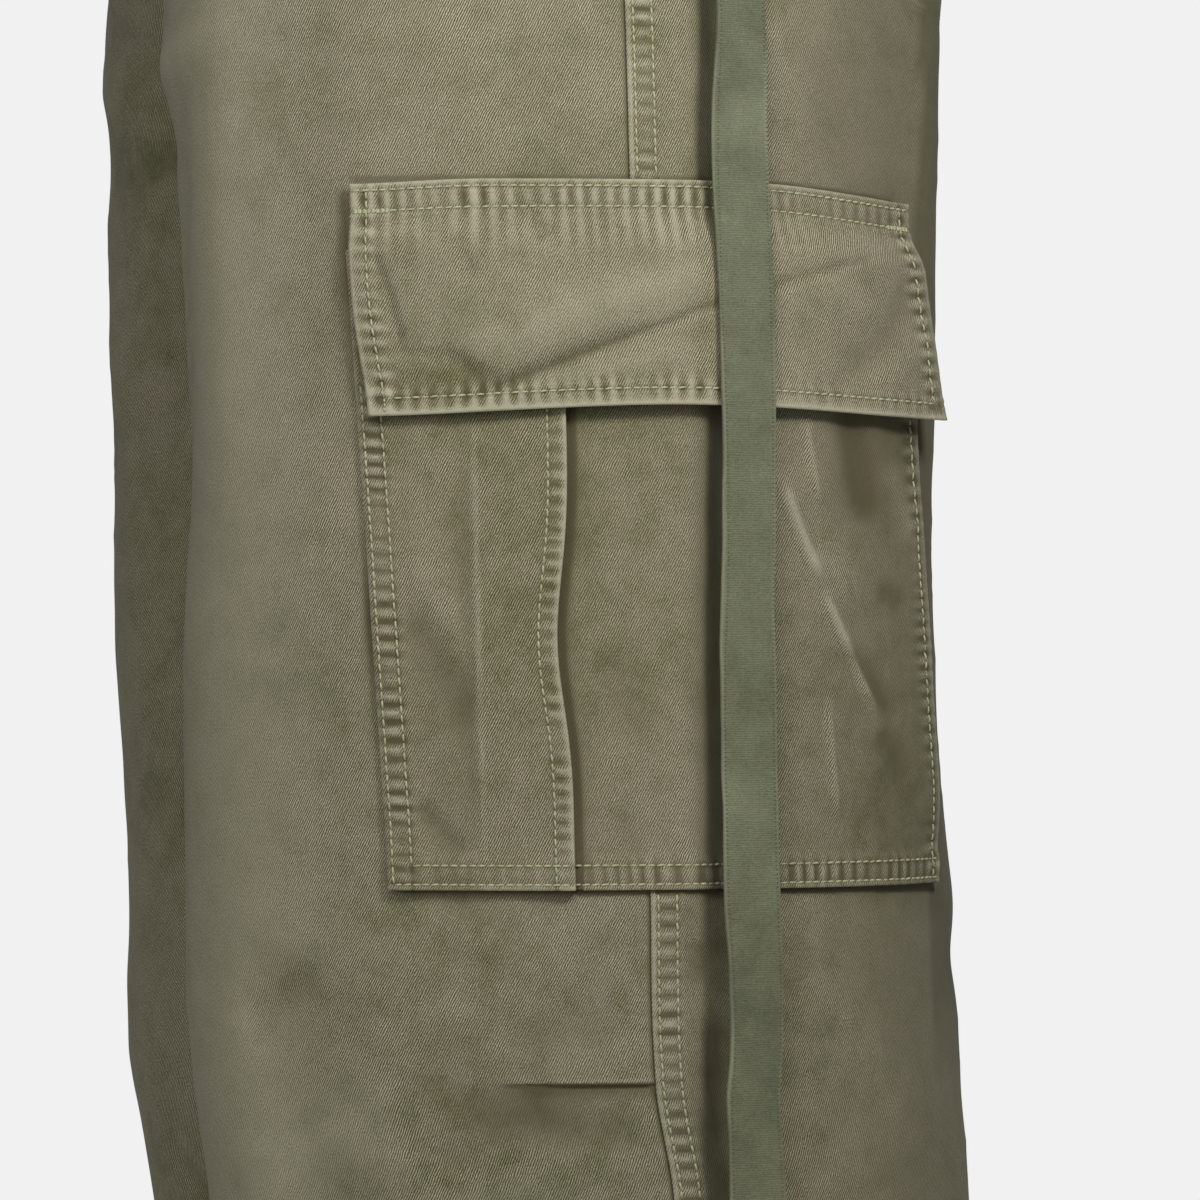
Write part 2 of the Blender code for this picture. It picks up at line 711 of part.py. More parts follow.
def flap_rise(share, drop):
    """How far the flap stands out: share across from the front, drop from its top."""
    over_pocket = FLAP_OVER_FRONT + FLAP_OVER_BACK * share
    step = ease((drop - FLAP_SEWN) / FLAP_STEP)
    across = ease((share - 1.0) / FLAP_FLARE_WIDTH + 1.0)
    down = ease((drop - 1.0) / FLAP_FLARE_DEPTH + 1.0)
    return over_pocket * step + FLAP_FLARE * across * down


def make_flap(side):
    """Pocket flap, sewn along its top and free below, flared at its back corner."""
    outer = []
    inner = []
    for z in rows_between(FLAP_TOP, FLAP_FOOT):
        drop = (FLAP_TOP - z) / (FLAP_TOP - FLAP_FOOT)
        lengths = [signed_length(q, z) for q in LEG_LINES]
        lengths[0] += FLAP_INSET + FLAP_CORNER * ease((drop - 1.0) / FLAP_CORNER_DEPTH + 1.0)
        overhang = FLAP_OVERHANG * ease(drop / FLAP_OVERHANG_DEPTH)
        lengths.append(lengths[-1] + FLAP_SIDE + overhang)
        width = lengths[-1] - lengths[0]
        outer_row = []
        inner_row = []
        for s in lengths:
            rise = LAYER_GAP + flap_rise((s - lengths[0]) / width, drop)
            outer_row.append(round_leg(side, s, z, rise + FLAP_CLOTH))
            inner_row.append(round_leg(side, s, z, rise))
        outer.append(outer_row)
        inner.append(inner_row)
    return wall("cargo_flap_" + side, outer, inner, POCKET_OLIVE, TWILL_ROUGHNESS)


def make_strap():
    """Tape strap stitched on the waistband behind the left side seam, hanging free."""
    top = STRAP_ROWS[0].z
    foot = STRAP_ROWS[-1].z
    outer = []
    inner = []
    for i in range(STRAP_STEPS + 1):
        z = top + (foot - top) * i / STRAP_STEPS
        behind = column(STRAP_ROWS, "behind", z)
        stand_off = column(STRAP_ROWS, "stand_off", z)
        turn = math.radians(column(STRAP_ROWS, "turn", z))
        centre, out = form_point("back_left", share_of("back", behind, z), z)
        out = Vector((out.x, out.y, 0.0)).normalized()
        across = Vector((-out.y, out.x, 0.0))
        face = out * math.cos(turn) - across * math.sin(turn)
        width = across * math.cos(turn) + out * math.sin(turn)
        middle = centre + out * stand_off
        line = [middle + width * STRAP_WIDTH * k for k in STRAP_COLUMNS]
        outer.append([point + face * TAPE / 2.0 for point in line])
        inner.append([point - face * TAPE / 2.0 for point in line])
    return wall("strap_left", outer, inner, TAPE_GREEN, TAPE_ROUGHNESS)


def build():
    """Clear the scene and build every piece of the trousers."""
    for old in list(bpy.data.objects):
        bpy.data.objects.remove(old, do_unlink=True)
    for side in ("left", "right"):
        make_panel("front_" + side)
        make_panel("back_" + side)
        make_waistband(side)
        make_pocket(side)
        make_flap(side)
    make_fly()
    make_button()
    make_strap()


build()
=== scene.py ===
"""Loose cargo trousers of washed olive twill, dressed round their CAD frame.

Metres, +Z up. The front faces -Y and the wearer's left is +X. Cloth is laid out
by its length round the leg from the side seam, s, which is negative in front of
the seam and positive behind it, and by its height, z.
"""

import logging
import math
from dataclasses import dataclass
from enum import Enum
from functools import lru_cache
from typing import NamedTuple

import bpy
import numpy as np
from mathutils import Matrix, Vector


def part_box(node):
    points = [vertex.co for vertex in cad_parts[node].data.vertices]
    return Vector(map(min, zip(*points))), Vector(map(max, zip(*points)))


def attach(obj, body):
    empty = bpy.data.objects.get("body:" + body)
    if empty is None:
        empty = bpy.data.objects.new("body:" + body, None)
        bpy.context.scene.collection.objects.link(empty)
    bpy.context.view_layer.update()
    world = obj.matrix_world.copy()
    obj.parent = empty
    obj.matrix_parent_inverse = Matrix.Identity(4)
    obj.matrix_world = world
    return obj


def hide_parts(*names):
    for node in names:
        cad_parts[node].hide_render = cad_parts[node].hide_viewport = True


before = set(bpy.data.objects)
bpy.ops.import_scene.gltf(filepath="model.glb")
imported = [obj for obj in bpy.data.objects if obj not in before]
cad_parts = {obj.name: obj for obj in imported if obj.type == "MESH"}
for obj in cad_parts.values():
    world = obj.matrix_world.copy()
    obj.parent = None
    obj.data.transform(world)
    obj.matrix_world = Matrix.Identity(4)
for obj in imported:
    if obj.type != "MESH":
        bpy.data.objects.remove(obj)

LOG = logging.getLogger("trousers")
Array = np.ndarray
Pair = tuple[np.ndarray, np.ndarray]    # lengths and heights, or points and directions out
Colour = tuple[float, float, float]
Material = bpy.types.Material
Piece = bpy.types.Object
Socket = bpy.types.NodeSocket

# Layers of cloth, as in the frame
CLOTH = 0.0015
LAYER_GAP = 0.0003
SEAM_GAP = 0.0003
SAME_PLACE = 1e-6
FLAP_CLOTH = 0.0019
BAND_PROUD = 0.0006
TAPE = 0.0016
THIN = 0.0009              # wall of a dressed panel
THIN_FLAP = 0.0016

# Heights of the cut
BAND_TOP = 0.020
BAND_FOOT = -0.020
RISE_START = -0.142
CROTCH = -0.262
FLAP_TOP = -0.325
POCKET_TOP = -0.348
FLAP_FOOT = -0.405
POCKET_FOOT = -0.569
KNEE = -0.636
HEM = -1.040

# Lengths round the leg from the side seam
POCKET_FRONT = (0.100, 0.091)     # at its top and foot
POCKET_BACK = (0.113, 0.127)
FLY_WIDTH = 0.038
FLY_FOOT = -0.175
BAND_LAP = 0.034

# Sewing
TWIN_NEAR = 0.0019         # first stitch row from a folded edge
TWIN_FAR = 0.0085          # second row
EDGE_ROW = 0.0060          # single row
BAND_ROW = 0.0022
BELLOWS_ROW = 0.0046
FLAP_ROWS = (0.0024, 0.0096)
HEM_DEPTH = 0.022
HEM_ROW = HEM_DEPTH - 0.002
STITCH_PITCH = 0.00325
STITCH_LENGTH = 0.0031
THREAD = 0.00040           # radius
PUCKER_PITCH = 0.0056
SEAM_LAP = 0.0008          # how far the two edges of a seam lie over each other
SEAM_REACH = 0.0115        # width of the close columns along a seam
# Creases lower than this are painted paler on their ridges and darker in their troughs: partly wear, partly
# painted light and shade.
SMALL_CREASE = 0.0022      # creases no higher than this show pale or dark


class Side(Enum):
    """The wearer's side."""

    LEFT = "left"
    RIGHT = "right"

    @property
    def hand(self) -> float:
        """Sign of the side's X."""
        return 1.0 if self is Side.LEFT else -1.0


class Half(Enum):
    """Front or back of a leg."""

    FRONT = "front"
    BACK = "back"

    @property
    def sign(self) -> float:
        """Sign of the half's lengths from the side seam, and of its Y."""
        return -1.0 if self is Half.FRONT else 1.0


class Section(NamedTuple):
    """A level section of one leg and half of the seat."""

    z: float
    outer: float
    inner: float
    front: float
    back: float
    seam_y: float
    right_y: float


FORM = tuple(Section(*row) for row in (
    # z      outer  inner  front   back    seam_y right_y
    (0.020, 0.150, 0.000, 0.1080, 0.1120, 0.000, 0.0000),
    (-0.020, 0.154, 0.000, 0.1130, 0.1190, 0.000, 0.0000),
    (-0.090, 0.172, 0.000, 0.1310, 0.1370, 0.004, 0.0000),
    (-0.180, 0.186, 0.000, 0.1430, 0.1430, 0.008, 0.0000),
    (-0.262, 0.191, 0.000, 0.1470, 0.1350, 0.011, 0.0010),
    (-0.325, 0.195, 0.008, 0.1440, 0.1290, 0.012, 0.0020),
    (-0.405, 0.197, 0.013, 0.1415, 0.1230, 0.014, 0.0015),
    (-0.470, 0.197, 0.016, 0.1440, 0.1225, 0.016, 0.0020),
    (-0.570, 0.196, 0.018, 0.1460, 0.1240, 0.019, 0.0065),
    (-0.636, 0.195, 0.019, 0.1480, 0.1245, 0.021, 0.0065),
    (-0.676, 0.193, 0.020, 0.1500, 0.1208, 0.028, 0.0080),
    (-0.760, 0.189, 0.024, 0.1450, 0.1200, 0.033, 0.0110),
    (-0.880, 0.184, 0.031, 0.1320, 0.1080, 0.035, 0.0120),
    (-1.040, 0.180, 0.038, 0.1150, 0.0950, 0.035, 0.0120),
))
BAND_RADIUS = FORM[0].outer
LAP_ANGLE = BAND_LAP / BAND_RADIUS


class StrapRow(NamedTuple):
    """One station down the hanging strap."""

    z: float
    behind: float
    stand_off: float
    turn: float


STRAP_ROWS = tuple(StrapRow(*row) for row in (
    # z      behind stand_off turn
    (-0.003, 0.0370, 0.0018, 0.0),
    (-0.022, 0.0370, 0.0018, 0.0),
    (-0.060, 0.0370, 0.0019, 0.0),
    (-0.120, 0.0370, 0.0022, 0.0),
    (-0.180, 0.0372, 0.0040, -3.0),
    (-0.262, 0.0377, 0.0085, -12.0),
    (-0.297, 0.0365, 0.0095, 3.0),
    (-0.330, 0.0357, 0.0102, 8.0),
    (-0.405, 0.0353, 0.0108, 0.0),
    (-0.450, 0.0341, 0.0112, -4.0),
    (-0.505, 0.0318, 0.0117, 4.0),
    (-0.570, 0.0311, 0.0127, 6.0),
    (-0.620, 0.0315, 0.0136, -4.0),
    (-0.676, 0.0237, 0.0155, 2.0),
    (-0.760, 0.0187, 0.0195, 6.0),
    (-0.830, 0.0172, 0.0225, 4.0),
))
STRAP_WIDTH = 0.020


class Crease(NamedTuple):
    """A soft trough or ridge from one end to the other, in s and z."""

    piece: str
    s_start: float
    z_start: float
    s_end: float
    z_end: float
    width: float
    height: float    # out of the cloth, or into it where negative
    bow: float = 0.0  # how far its middle lies to one side
    skew: float = 0.0  # how much wider it is above than below


CREASES = tuple(Crease(piece, *row) for piece, rows in (
    #    s_start z_start  s_end   z_end    width   height   bow     skew
    # Large folds, which the frame has too
    ("front_left", (
        (-0.146, -0.150, -0.162, -0.480, 0.016, 0.0028),
        (-0.180, -0.430, -0.205, -0.650, 0.022, 0.0030),
        (-0.100, -0.570, -0.088, -0.715, 0.018, 0.0034),
        (-0.140, -0.585, -0.125, -0.700, 0.015, -0.0024),
        (-0.060, -0.680, -0.115, -0.980, 0.022, 0.0032),
        (-0.190, -0.700, -0.165, -1.020, 0.024, 0.0036),
        (-0.255, -0.330, -0.270, -0.560, 0.020, 0.0026),
    )),
    ("back_left", (
        (0.128, -0.130, 0.146, -0.480, 0.014, 0.0032),
        (0.152, -0.150, 0.168, -0.440, 0.014, -0.0026),
        (0.175, -0.520, 0.120, -0.760, 0.020, 0.0032),
        (0.210, -0.600, 0.150, -0.800, 0.018, -0.0028),
        (0.080, -0.740, 0.120, -1.020, 0.024, 0.0034),
    )),
    ("front_right", (
        (-0.140, -0.150, -0.152, -0.440, 0.017, 0.0026),
        (-0.190, -0.330, -0.226, -0.560, 0.016, 0.0028),
        (-0.110, -0.560, -0.096, -0.720, 0.018, 0.0032),
        (-0.070, -0.690, -0.105, -0.960, 0.020, 0.0030),
        (-0.200, -0.720, -0.170, -1.020, 0.026, 0.0034),
    )),
    ("back_right", (
        (0.132, -0.120, 0.150, -0.460, 0.015, 0.0030),
        (0.158, -0.170, 0.172, -0.420, 0.014, -0.0024),
        (0.165, -0.540, 0.125, -0.770, 0.021, 0.0034),
        (0.205, -0.620, 0.160, -0.790, 0.017, -0.0026),
        (0.095, -0.760, 0.125, -1.010, 0.022, 0.0030),
    )),
    ("front_right", (
        (-0.187, -0.205, -0.187, -0.330, 0.026, -0.0046),
    )),
    # Hollow behind the strap, which the flap bridges
    ("back_left", (
        (0.0380, -0.120, 0.0350, -0.420, 0.0095, -0.0070),
        (0.0330, -0.370, 0.0310, -0.620, 0.0095, -0.0070),
        (0.0270, -0.560, 0.0210, -0.900, 0.0095, -0.0065),
    )),
    ("flap_left", (
        (0.0355, -0.290, 0.0340, -0.440, 0.0085, 0.0046),
    )),
    # Thigh over the pocket
    ("front_left", (
        (-0.112, -0.262, -0.121, -0.420, 0.007, -0.0006, 0.004),
        (-0.060, -0.240, -0.052, -0.322, 0.010, 0.0006, -0.004),
        (-0.030, -0.262, -0.086, -0.316, 0.008, -0.0005, 0.003),
        (-0.176, -0.250, -0.188, -0.420, 0.008, -0.0009, 0.003),
    )),
    ("back_left", (
        (0.060, -0.240, 0.080, -0.330, 0.010, -0.0006, 0.003),
    )),
    # Round the knee
    ("front_left", (
        (-0.112, -0.604, -0.152, -0.622, 0.009, -0.0018, -0.006),
        (-0.078, -0.571, -0.042, -0.598, 0.006, -0.0014, 0.004),
        (-0.072, -0.580, -0.034, -0.604, 0.007, 0.0010, 0.005),
        (-0.008, -0.606, -0.058, -0.622, 0.009, -0.0011, 0.005),
        (-0.012, -0.588, -0.003, -0.633, 0.004, 0.0007, 0.000),
        (-0.062, -0.628, -0.094, -0.642, 0.010, -0.0014, 0.004),
        (-0.094, -0.640, -0.066, -0.668, 0.008, -0.0012, -0.005),
        (-0.004, -0.650, -0.050, -0.652, 0.009, -0.0016, 0.002),
        (-0.034, -0.660, -0.110, -0.700, 0.014, 0.0014, 0.006),
        (-0.100, -0.655, -0.165, -0.678, 0.012, 0.0012, -0.005),
        (-0.020, -0.690, -0.070, -0.760, 0.012, -0.0012, 0.005),
        (-0.204, -0.660, -0.228, -0.690, 0.006, -0.0016, 0.002),
    )),
    ("back_left", (
        (0.020, -0.586, 0.060, -0.612, 0.010, -0.0009, 0.004),
        (0.050, -0.600, 0.104, -0.660, 0.012, 0.0008, 0.005),
        (0.010, -0.640, 0.022, -0.690, 0.007, -0.0011, 0.002),
        (0.130, -0.590, 0.230, -0.640, 0.012, -0.0016, 0.008),
        (0.150, -0.640, 0.240, -0.660, 0.012, 0.0014, -0.008),
        (0.0245, -0.610, 0.0215, -0.664, 0.0048, -0.0021),
        (0.0150, -0.586, 0.0175, -0.604, 0.0030, -0.0018),
        (0.168, -0.632, 0.270, -0.612, 0.008, -0.0021, 0.006),
        (0.165, -0.672, 0.255, -0.700, 0.010, 0.0019, 0.006),
    )),
    # Seat and lower legs
    ("front_left", (
        (-0.170, -0.228, -0.262, -0.262, 0.008, -0.0021, 0.006),
        (-0.150, -0.268, -0.255, -0.286, 0.009, 0.0020, 0.005),
        (-0.185, -0.312, -0.262, -0.300, 0.008, -0.0019, -0.005),
    )),
    ("back_left", (
        (0.160, -0.262, 0.270, -0.276, 0.009, -0.0021, 0.007),
    )),
    ("front_left", (
        (-0.240, -0.975, -0.150, -1.000, 0.010, -0.0018, 0.006),
        (-0.120, -0.992, -0.040, -0.968, 0.010, 0.0017, 0.006),
    )),
    ("back_left", (
        (0.200, -0.965, 0.090, -0.995, 0.011, -0.0020, 0.006),
    )),
    ("front_left", (
        (-0.150, -0.090, -0.230, -0.225, 0.010, 0.0014, 0.006),
        (-0.060, -0.060, -0.140, -0.130, 0.012, -0.0010, 0.005),
        (-0.205, -0.200, -0.256, -0.262, 0.009, -0.0016, 0.004),
    )),
    ("back_left", (
        (0.150, -0.110, 0.235, -0.240, 0.011, 0.0014, -0.007),
        (0.190, -0.230, 0.262, -0.290, 0.010, -0.0016, 0.006),
        (0.175, -0.285, 0.250, -0.340, 0.010, 0.0013, 0.006),
    )),
    ("front_left", (
        (-0.130, -0.790, -0.060, -0.860, 0.013, -0.0012, 0.007),
        (-0.150, -0.870, -0.100, -0.960, 0.013, 0.0012, -0.006),
        (-0.030, -0.900, -0.090, -1.000, 0.014, -0.0012, 0.005),
    )),
    ("back_left", (
        (0.060, -0.800, 0.160, -0.850, 0.013, -0.0014, 0.008),
        (0.170, -0.850, 0.110, -0.940, 0.013, 0.0013, 0.006),
    )),
    # Flap
    ("flap_left", (
        (-0.075, -0.4068, 0.050, -0.3586, 0.0015, -0.0011, 0.000, 0.40),
        (-0.064, -0.4025, 0.008, -0.3747, 0.0027, -0.0014, 0.000, 0.62),
        (-0.070, -0.383, -0.047, -0.396, 0.0040, -0.0012),
        (-0.090, -0.401, -0.048, -0.393, 0.0070, -0.0010),
        (0.030, -0.367, 0.098, -0.348, 0.0018, -0.0008, 0.001, 0.30),
        (-0.066, -0.384, 0.044, -0.352, 0.0070, 0.0009, 0.001),
        (-0.080, -0.409, 0.020, -0.382, 0.0036, 0.0006, 0.000),
        (-0.0915, -0.345, -0.0800, -0.388, 0.0026, -0.0012, 0.001),
        (-0.0790, -0.342, -0.0775, -0.359, 0.0034, -0.0007),
        (-0.0735, -0.335, -0.0695, -0.344, 0.0030, -0.0007),
        (-0.0630, -0.341, -0.0550, -0.361, 0.0034, -0.0009),
        (-0.0385, -0.334, -0.0285, -0.346, 0.0030, -0.0007),
        (-0.0135, -0.334, -0.0095, -0.345, 0.0038, -0.0006),
        (0.0080, -0.335, 0.0160, -0.352, 0.0050, 0.0005),
        (-0.0500, -0.370, -0.0380, -0.378, 0.0050, -0.0007),
        (-0.0990, -0.383, -0.0620, -0.3845, 0.0018, -0.0006),
        (-0.0990, -0.391, -0.0860, -0.3945, 0.0016, -0.0006),
        (0.112, -0.352, 0.072, -0.394, 0.0060, -0.0010, 0.003),
        (0.120, -0.372, 0.084, -0.398, 0.0050, 0.0006, 0.002),
        (0.062, -0.352, 0.100, -0.372, 0.0070, 0.0006, -0.003),
    )),
    # Pocket
    ("pocket_left", (
        (-0.0580, -0.400, -0.0585, -0.562, 0.0016, 0.0008),
        (-0.0625, -0.400, -0.0625, -0.562, 0.0046, -0.0008),
        (-0.084, -0.446, -0.060, -0.500, 0.0060, 0.0008, 0.002),
        (-0.086, -0.470, -0.062, -0.520, 0.0080, -0.0011, 0.003),
        (-0.082, -0.536, -0.062, -0.558, 0.0036, -0.0011, -0.002),
        (-0.080, -0.405, -0.064, -0.440, 0.0080, 0.0006, 0.002),
        (0.050, -0.425, 0.067, -0.466, 0.0026, 0.0021, -0.001),
        (0.064, -0.448, 0.078, -0.472, 0.0060, 0.0009, 0.001),
        (0.064, -0.462, 0.091, -0.512, 0.0024, 0.0022, -0.001),
        (0.060, -0.402, 0.066, -0.440, 0.0020, 0.0012, 0.000),
        (0.0665, -0.500, 0.0695, -0.549, 0.0015, 0.0012),
        (0.077, -0.396, 0.088, -0.448, 0.0070, -0.0018, 0.001),
        (0.090, -0.466, 0.107, -0.473, 0.0046, -0.0010, 0.001),
        (0.072, -0.484, 0.100, -0.514, 0.0046, -0.0016, 0.001),
        (0.088, -0.514, 0.103, -0.536, 0.0060, -0.0014, 0.002),
        (0.096, -0.420, 0.112, -0.452, 0.0070, 0.0007, 0.002),
        (0.080, -0.548, 0.086, -0.562, 0.0030, 0.0006, 0.001),
        (-0.018, -0.486, -0.004, -0.520, 0.0080, -0.0007, 0.003),
        (-0.012, -0.540, -0.004, -0.564, 0.0030, -0.0006, 0.001),
        (0.008, -0.546, 0.016, -0.566, 0.0030, 0.0006, 0.001),
    )),
) for row in rows)


class Change(NamedTuple):
    """How a crease on the right side differs from its twin on the left."""

    s_scale: float
    z_shift: float
    width_scale: float
    height_scale: float


CHANGES = tuple(Change(*row) for row in (
    # s_scale z_shift width height
    (0.93, 0.009, 1.10, 0.90),
    (1.05, -0.012, 0.90, 1.15),
    (0.88, 0.004, 1.20, 0.80),
    (1.00, -0.006, 1.00, 1.05),
    (0.96, 0.014, 0.85, 1.20),
))
UNPAIRED = 27              # rows at the top of the table, without a twin
FLAP_SHIFT = 0.3           # share of the shift that a crease on the flap takes


def all_creases() -> list[Crease]:
    """List every crease: the table's, and a changed twin on the right of each small one."""
    rows = list(CREASES)
    for k, row in enumerate(CREASES[UNPAIRED:]):
        change = CHANGES[k % len(CHANGES)]
        shift = change.z_shift * (FLAP_SHIFT if "flap" in row.piece else 1.0)
        twin = row._replace(
            piece=row.piece.replace("left", "right"),
            s_start=row.s_start * change.s_scale,
            s_end=row.s_end * change.s_scale,
            z_start=row.z_start + shift,
            z_end=row.z_end + shift,
            width=row.width * change.width_scale,
            height=row.height * change.height_scale,
        )
        rows.append(twin)
    return rows


def pocket_edge(half: Half, z: Array) -> Array:
    """Length from the side seam to the pocket's edge at heights z."""
    down = np.clip((POCKET_TOP - z) / (POCKET_TOP - POCKET_FOOT), 0.0, 1.0)
    start, end = POCKET_FRONT if half is Half.FRONT else POCKET_BACK
    return start + down * (end - start)


def ease(t: Array) -> Array:
    """Smooth step from 0 to 1 as t goes from 0 to 1."""
    t = np.clip(t, 0.0, 1.0)
    return t * t * (3.0 - 2.0 * t)


def bell(distance: Array, width: float) -> Array:
    """Soft bump of height 1 that falls away over the given width."""
    return np.exp(-((distance / width) ** 2))


@lru_cache(maxsize=None)
def noise_table(seed: int) -> Array:
    """Square table of random values that soft_noise reads."""
    return np.random.default_rng(seed).uniform(-1.0, 1.0, (64, 64))


def soft_noise(u: Array, v: Array, size: float, seed: int) -> Array:
    """Smooth noise over the cloth, from -1 to 1.

    Args:
        u: Lengths one way.
        v: Lengths the other way.
        size: Size of its features.
        seed: Which noise.
    """
    table = noise_table(seed)
    count = len(table)
    x = np.asarray(u) / size
    y = np.asarray(v) / size
    i = np.floor(x).astype(int)
    j = np.floor(y).astype(int)
    a = ease(x - i)
    b = ease(y - j)

    def across(row: Array) -> Array:
        return table[i % count, row % count] * (1.0 - a) + table[(i + 1) % count, row % count] * a

    return across(j) * (1.0 - b) + across(j + 1) * b


def wander(along: Array, size: float, seed: int) -> Array:
    """Smooth noise along a line, from -1 to 1."""
    return soft_noise(along, along * 0.0, size, seed)


def column(rows: tuple, name: str, z: Array) -> Array:
    """Values of a table's column at heights z, on a smooth curve through its rows."""
    heights = np.array([row.z for row in rows])
    values = np.array([getattr(row, name) for row in rows])
    last = len(rows) - 1
    before = np.maximum(np.arange(last + 1) - 1, 0)
    after = np.minimum(np.arange(last + 1) + 1, last)
    slopes = (values[after] - values[before]) / (heights[after] - heights[before])
    z = np.clip(z, heights[-1], heights[0])
    i = np.clip(np.searchsorted(-heights, -z, side="left") - 1, 0, last - 1)
    span = heights[i + 1] - heights[i]
    t = (z - heights[i]) / span
    rise = values[i + 1] - values[i]
    start = slopes[i] * span
    end = slopes[i + 1] * span
    square = 3.0 * rise - 2.0 * start - end
    cube = start + end - 2.0 * rise
    return values[i] + t * (start + t * (square + t * cube))


class LegForm:
    """Smooth form of one half of a leg and seat, under every fold."""

    STEP = 0.0015
    SPLITS = 300

    def __init__(self, half: Half, side: Side) -> None:
        """Lay out a fine grid of points and directions out.

        Args:
            half: Front or back.
            side: The wearer's left or right.
        """
        self.heights = np.arange(BAND_TOP + 0.003, HEM - 0.006, -self.STEP)
        z = self.heights
        outer = column(FORM, "outer", z)
        depth = column(FORM, half.value, z) * half.sign
        up = np.clip((z - CROTCH) / (RISE_START - CROTCH), 0.0, 1.0)
        sweep = np.arccos(np.clip(-1.0 + 2.5 * up**1.5 - 1.5 * up**2.5, -1.0, 1.0))
        inner = np.where(z >= CROTCH, 0.0, np.maximum(column(FORM, "inner", z), 0.0))
        inner = np.maximum(inner, SEAM_GAP / 2.0)
        half_width = (outer - inner) / (1.0 - np.cos(sweep))
        angle = sweep[:, None] * np.linspace(0.0, 1.0, 2 * self.SPLITS + 1)[None, :]
        x = (outer - half_width)[:, None] + half_width[:, None] * np.cos(angle)
        y = column(FORM, "seam_y", z)[:, None] + depth[:, None] * np.sin(angle)
        run = np.hypot(np.diff(x, axis=1), np.diff(y, axis=1))
        along = np.concatenate([np.zeros((len(z), 1)), np.cumsum(run, axis=1)], axis=1)
        self.lengths = along[:, -1]
        shares = np.linspace(0.0, 1.0, self.SPLITS + 1)
        points = np.empty((len(z), self.SPLITS + 1, 3))
        for row in range(len(z)):
            wanted = shares * self.lengths[row]
            points[row, :, 0] = np.interp(wanted, along[row], x[row])
            points[row, :, 1] = np.interp(wanted, along[row], y[row])
            points[row, :, 2] = z[row]
        points[..., 0] *= side.hand
        if side is Side.RIGHT:
            points[..., 1] += column(FORM, "right_y", z)[:, None]
        across = np.gradient(points, axis=1)
        down = np.gradient(points, axis=0)
        out = np.cross(across, down)
        out /= np.maximum(np.linalg.norm(out, axis=2, keepdims=True), 1e-12)
        self.points = points
        self.normals = out * np.sign(out[len(z) // 2, 0, 0] * side.hand)

    def length(self, z: Array) -> Array:
        """Length of the cloth from the side seam to its inner edge at heights z."""
        return np.interp(-np.asarray(z), -self.heights, self.lengths)

    def at(self, s: Array, z: Array) -> Pair:
        """Find points of the form.

        Args:
            s: Lengths from the side seam, positive.
            z: Heights.

        Returns:
            The points and the directions out, each with a last axis of three.
        """
        row = np.clip((self.heights[0] - z) / self.STEP, 0.0, len(self.heights) - 1.001)
        col = np.maximum(s / self.length(z), 0.0) * self.SPLITS
        i = row.astype(int)
        j = np.minimum(col.astype(int), self.SPLITS - 1)
        u = (row - i)[..., None]
        v = (col - j)[..., None]

        def blend(grid: Array) -> Array:
            top = grid[i, j] * (1.0 - v) + grid[i, j + 1] * v
            foot = grid[i + 1, j] * (1.0 - v) + grid[i + 1, j + 1] * v
            return top * (1.0 - u) + foot * u

        normal = blend(self.normals)
        normal /= np.linalg.norm(normal, axis=-1, keepdims=True)
        return blend(self.points), normal


@dataclass(frozen=True)
class EdgeSewing:
    """A folded edge stitched down, and how the cloth lies and puckers along it.

    Attributes:
        rows: Distances of the stitch rows from the edge.
        band: Width of the layers folded under the edge.
        proud: How far they lift the cloth.
        pucker: Height of the puckers between and beside the rows.
        seed: Which irregularities.
        middle: Where the puckers are centred, as a share of the rows' mean distance.
        reach: How far they run to each side of that, at the least.
    """

    rows: tuple[float, ...]
    band: float
    proud: float
    pucker: float
    seed: int
    middle: float = 1.0
    reach: float = 0.0042

    FALL = 0.0025         # over which the folded layers run out
    DENT = 0.00042        # depth and width of the dent along a stitch row
    DENT_WIDTH = 0.0009
    LEAN = 90.0           # slant of the puckers, in radians for each metre across
    PALENESS = 3000.0     # of a crest, for each metre of its height

    def relief(self, d: Array, along: Array, share: float | Array = 1.0) -> Array:
        """Height of the cloth at distance d from the edge, with a share of the puckers."""
        height = self.proud * (1.0 - ease((d - self.band) / self.FALL))
        dents = sum(self.DENT * bell(d - row, self.DENT_WIDTH) for row in self.rows)
        return height - dents + self.pucker * share * self.ripple(d, along)

    def ripple(self, d: Array, along: Array) -> Array:
        """Puckers along the rows, uneven in pitch, strength and slant, from -1 to 1."""
        drift = 3.3 * soft_noise(along, d * 0.0, 0.023, self.seed)
        slant = self.LEAN * soft_noise(along, d * 0.0 + 0.01, 0.040, self.seed + 1)
        wave = np.sin(2.0 * math.pi * along / PUCKER_PITCH + drift + slant * d)
        strength = 0.55 + 0.45 * soft_noise(along, d * 0.0, 0.011, self.seed + 2)
        middle = self.middle * sum(self.rows) / len(self.rows)
        reach = max(self.reach, 0.62 * (self.rows[-1] - self.rows[0]))
        return wave * strength * bell(d - middle, reach)

    def wear_and_shade(self, d: Array, along: Array, share: float | Array = 1.0) -> Array:
        """Paleness from rubbing, on the edge and the crests, with painted shadow along the stitch rows, from
        -1 (darker) to 1.
        """
        edge = bell(d, 0.0014) * (0.75 + 0.25 * soft_noise(along, d * 0.0, 0.017, self.seed + 3))
        crests = self.PALENESS * self.pucker * share * self.ripple(d, along)
        # painted shadow: a darker line along each stitch row
        return edge + crests - sum(0.55 * bell(d - row, 0.0007) for row in self.rows)


